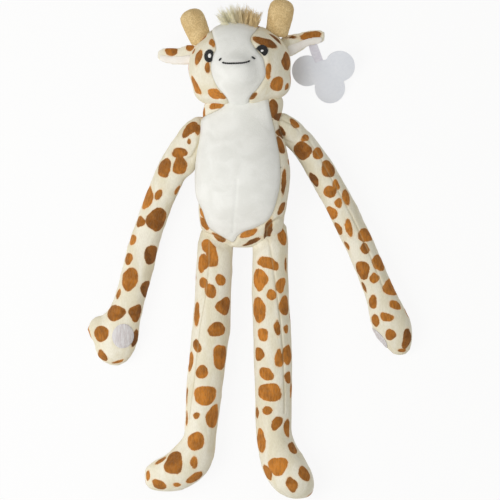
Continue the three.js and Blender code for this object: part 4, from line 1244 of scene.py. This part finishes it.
def makePatch(side):  # a sewn-on disc of fastening tape with a round rim, draped on the palm
    facts, thick = patches[side], patches["thick"]
    tree = treeOf(limbPieces[side + "Arm"])
    obj = sphere(side + "PalmPatch", 40, 22)
    centre, normal = Vector(facts["at"]) * mm, Vector(facts["facing"]).normalized()
    turn = math.radians(facts["turn"])
    across = Vector((math.cos(turn), math.sin(turn), 0))
    across = (across - normal * across.dot(normal)).normalized()
    along = normal.cross(across)
    wide, high = facts["halves"]
    moved = []
    for x, y, z in pointsOf(obj):
        flat = centre + across * (x * wide * mm) + along * (y * high * mm)
        hit = tree.ray_cast(flat + normal * 0.05, -normal)
        base = hit[0] if hit[0] is not None else tree.find_nearest(flat)[0]
        rim = math.copysign(min(1, abs(z) * patches["steep"]) ** patches["round"], z)
        moved.append(base + normal * ((thick * 0.5 + thick * 0.75 * rim) * mm))
    setPoints(obj, moved)
    return smoothShaded(outward(obj))


palmPatches = {side: makePatch(side) for side in sides}

tag = {
    "lobes": [(56.7, 179.5), (89.4, 184.1), (79.7, 162.6)], "radius": 15.2, "core": 0.98, "thick": 0.9,
    "lift": 1.2, "sides": 240, "edge": 0.18,
}


def tagPlane():  # the plane that the CAD's tag lies in: its middle and its upward normal
    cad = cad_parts["tag"]
    points = np.array([cad.matrix_world @ v.co for v in cad.data.vertices])
    middle = points.mean(axis=0)
    normal = Vector(np.linalg.svd(points - middle)[2][2])
    return Vector(middle), -normal if normal.z < 0 else normal


def makeTag():
    middle, normal = tagPlane()
    lobes = [Vector(lobe) for lobe in tag["lobes"]]
    centre = sum(lobes, Vector((0, 0))) / 3
    circles = [(lobe, tag["radius"]) for lobe in lobes] + [(centre, tag["radius"] * tag["core"])]
    moved = []
    for k in range(tag["sides"]):
        turn = 2 * math.pi * k / tag["sides"]
        way = Vector((math.cos(turn), math.sin(turn)))
        far = 0
        for lobe, radius in circles:
            off = centre - lobe
            b, c = off.dot(way), off.dot(off) - radius ** 2
            if b * b - c > 0:
                far = max(far, -b + math.sqrt(b * b - c))
        edge = centre + way * far
        x, y = edge.x * mm, edge.y * mm
        drop = ((x - middle.x) * normal.x + (y - middle.y) * normal.y) / normal.z
        moved.append((x, y, middle.z + tag["lift"] * mm - drop))
    obj = disc("swingTag", tag["sides"])
    setPoints(obj, moved)
    applied(obj, "SOLIDIFY", thickness=tag["thick"] * mm, offset=0)
    applied(obj, "BEVEL", width=tag["edge"] * mm, segments=2, limit_method="ANGLE")
    outward(obj)
    bpy.ops.object.shade_smooth_by_angle(angle=math.radians(40))
    return obj


swingTag = makeTag()

strap = {
    # a soft ribbon from under the ear to under the tag: x, y, half width, heading
    "rows": [
        (61.8, 208.5, 4.2, -80), (62.8, 203.5, 4.5, -76), (64.6, 198.5, 4.8, -70), (66.6, 194, 4.5, -66),
        (68.6, 189.4, 4.2, -66), (70.4, 185.2, 3.8, -68),
    ],
    "heights": [31.4, 29.8, 26.2, 22.4],  # of the rows that lie clear of the tag
    "thick": 0.8, "under": 0.9,
}


def makeStrap():
    tree, heights = treeOf(swingTag), list(strap["heights"])
    for x, y, half, heading in strap["rows"][len(heights):]:
        heights.append(dropped(tree, x * mm, y * mm, -1)[0].z / mm - strap["under"])
    rows = [
        (x, y, z, half, strap["thick"] / 2, heading)
        for (x, y, half, heading), z in zip(strap["rows"], heights)
    ]
    return smoothShaded(stuffedTube("tagStrap", rows, 16))


tagStrap = makeStrap()
print("patches and tag ready")


# what each piece is, and what it moves with
def snake(name):
    return "".join("_" + c.lower() if c.isupper() else c for c in name)


slots = {"earLining": "white_plush", "ribbon": "white_thread"}


def dressed(obj, finish, body=None, nodes=None):
    # a finished piece's material, the nodes it stands for and the body it rides on
    obj.data.materials.clear()
    obj.data.materials.append(materials[finish])
    if not obj.data.attributes.get("seamDistance"):
        keep(obj, "seamDistance", np.full(len(obj.data.vertices), farFromSeam))
    slots.get(finish) or snake(finish)
    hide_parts(*(nodes or [snake(obj.name)]))
    if body:
        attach(obj, body)


dressed(bodyCover, "spottedPlush", nodes=["body_cover", "body_fill"])
dressed(bellyPanel, "whitePlush")
dressed(headCover, "spottedPlush", "head", ["head_cover", "head_fill"])
dressed(facePanel, "whitePlush", "head")
for piece in (bodyCover, bellyPanel):
    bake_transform(piece)
for key, piece in limbPieces.items():
    body = snake(key)
    dressed(piece, "spottedPlush", nodes=[body + "_cover", body + "_fill"])
    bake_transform(piece)
for piece in hornPieces:
    dressed(piece, "tanPlush", "head")
dressed(hairTuft, "hairPile", "head")
for piece in facePieces:
    dressed(piece, "whiteThread" if piece.name.endswith("Glint") else "darkThread", "head")
for side in sides:
    back, lining = earPieces[side]
    dressed(back, "spottedPlush", side + "_ear")
    dressed(lining, "earLining", side + "_ear")
    dressed(palmPatches[side], "fastener", side + "_arm")
dressed(swingTag, "tagCard", "swing_tag", nodes=["tag"])
dressed(tagStrap, "ribbon", "swing_tag")

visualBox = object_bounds()
for low, high, name in zip(visualBox[0], visualBox[1], "xyz"):
    print(name, round(low / mm, 1), round(high / mm, 1))
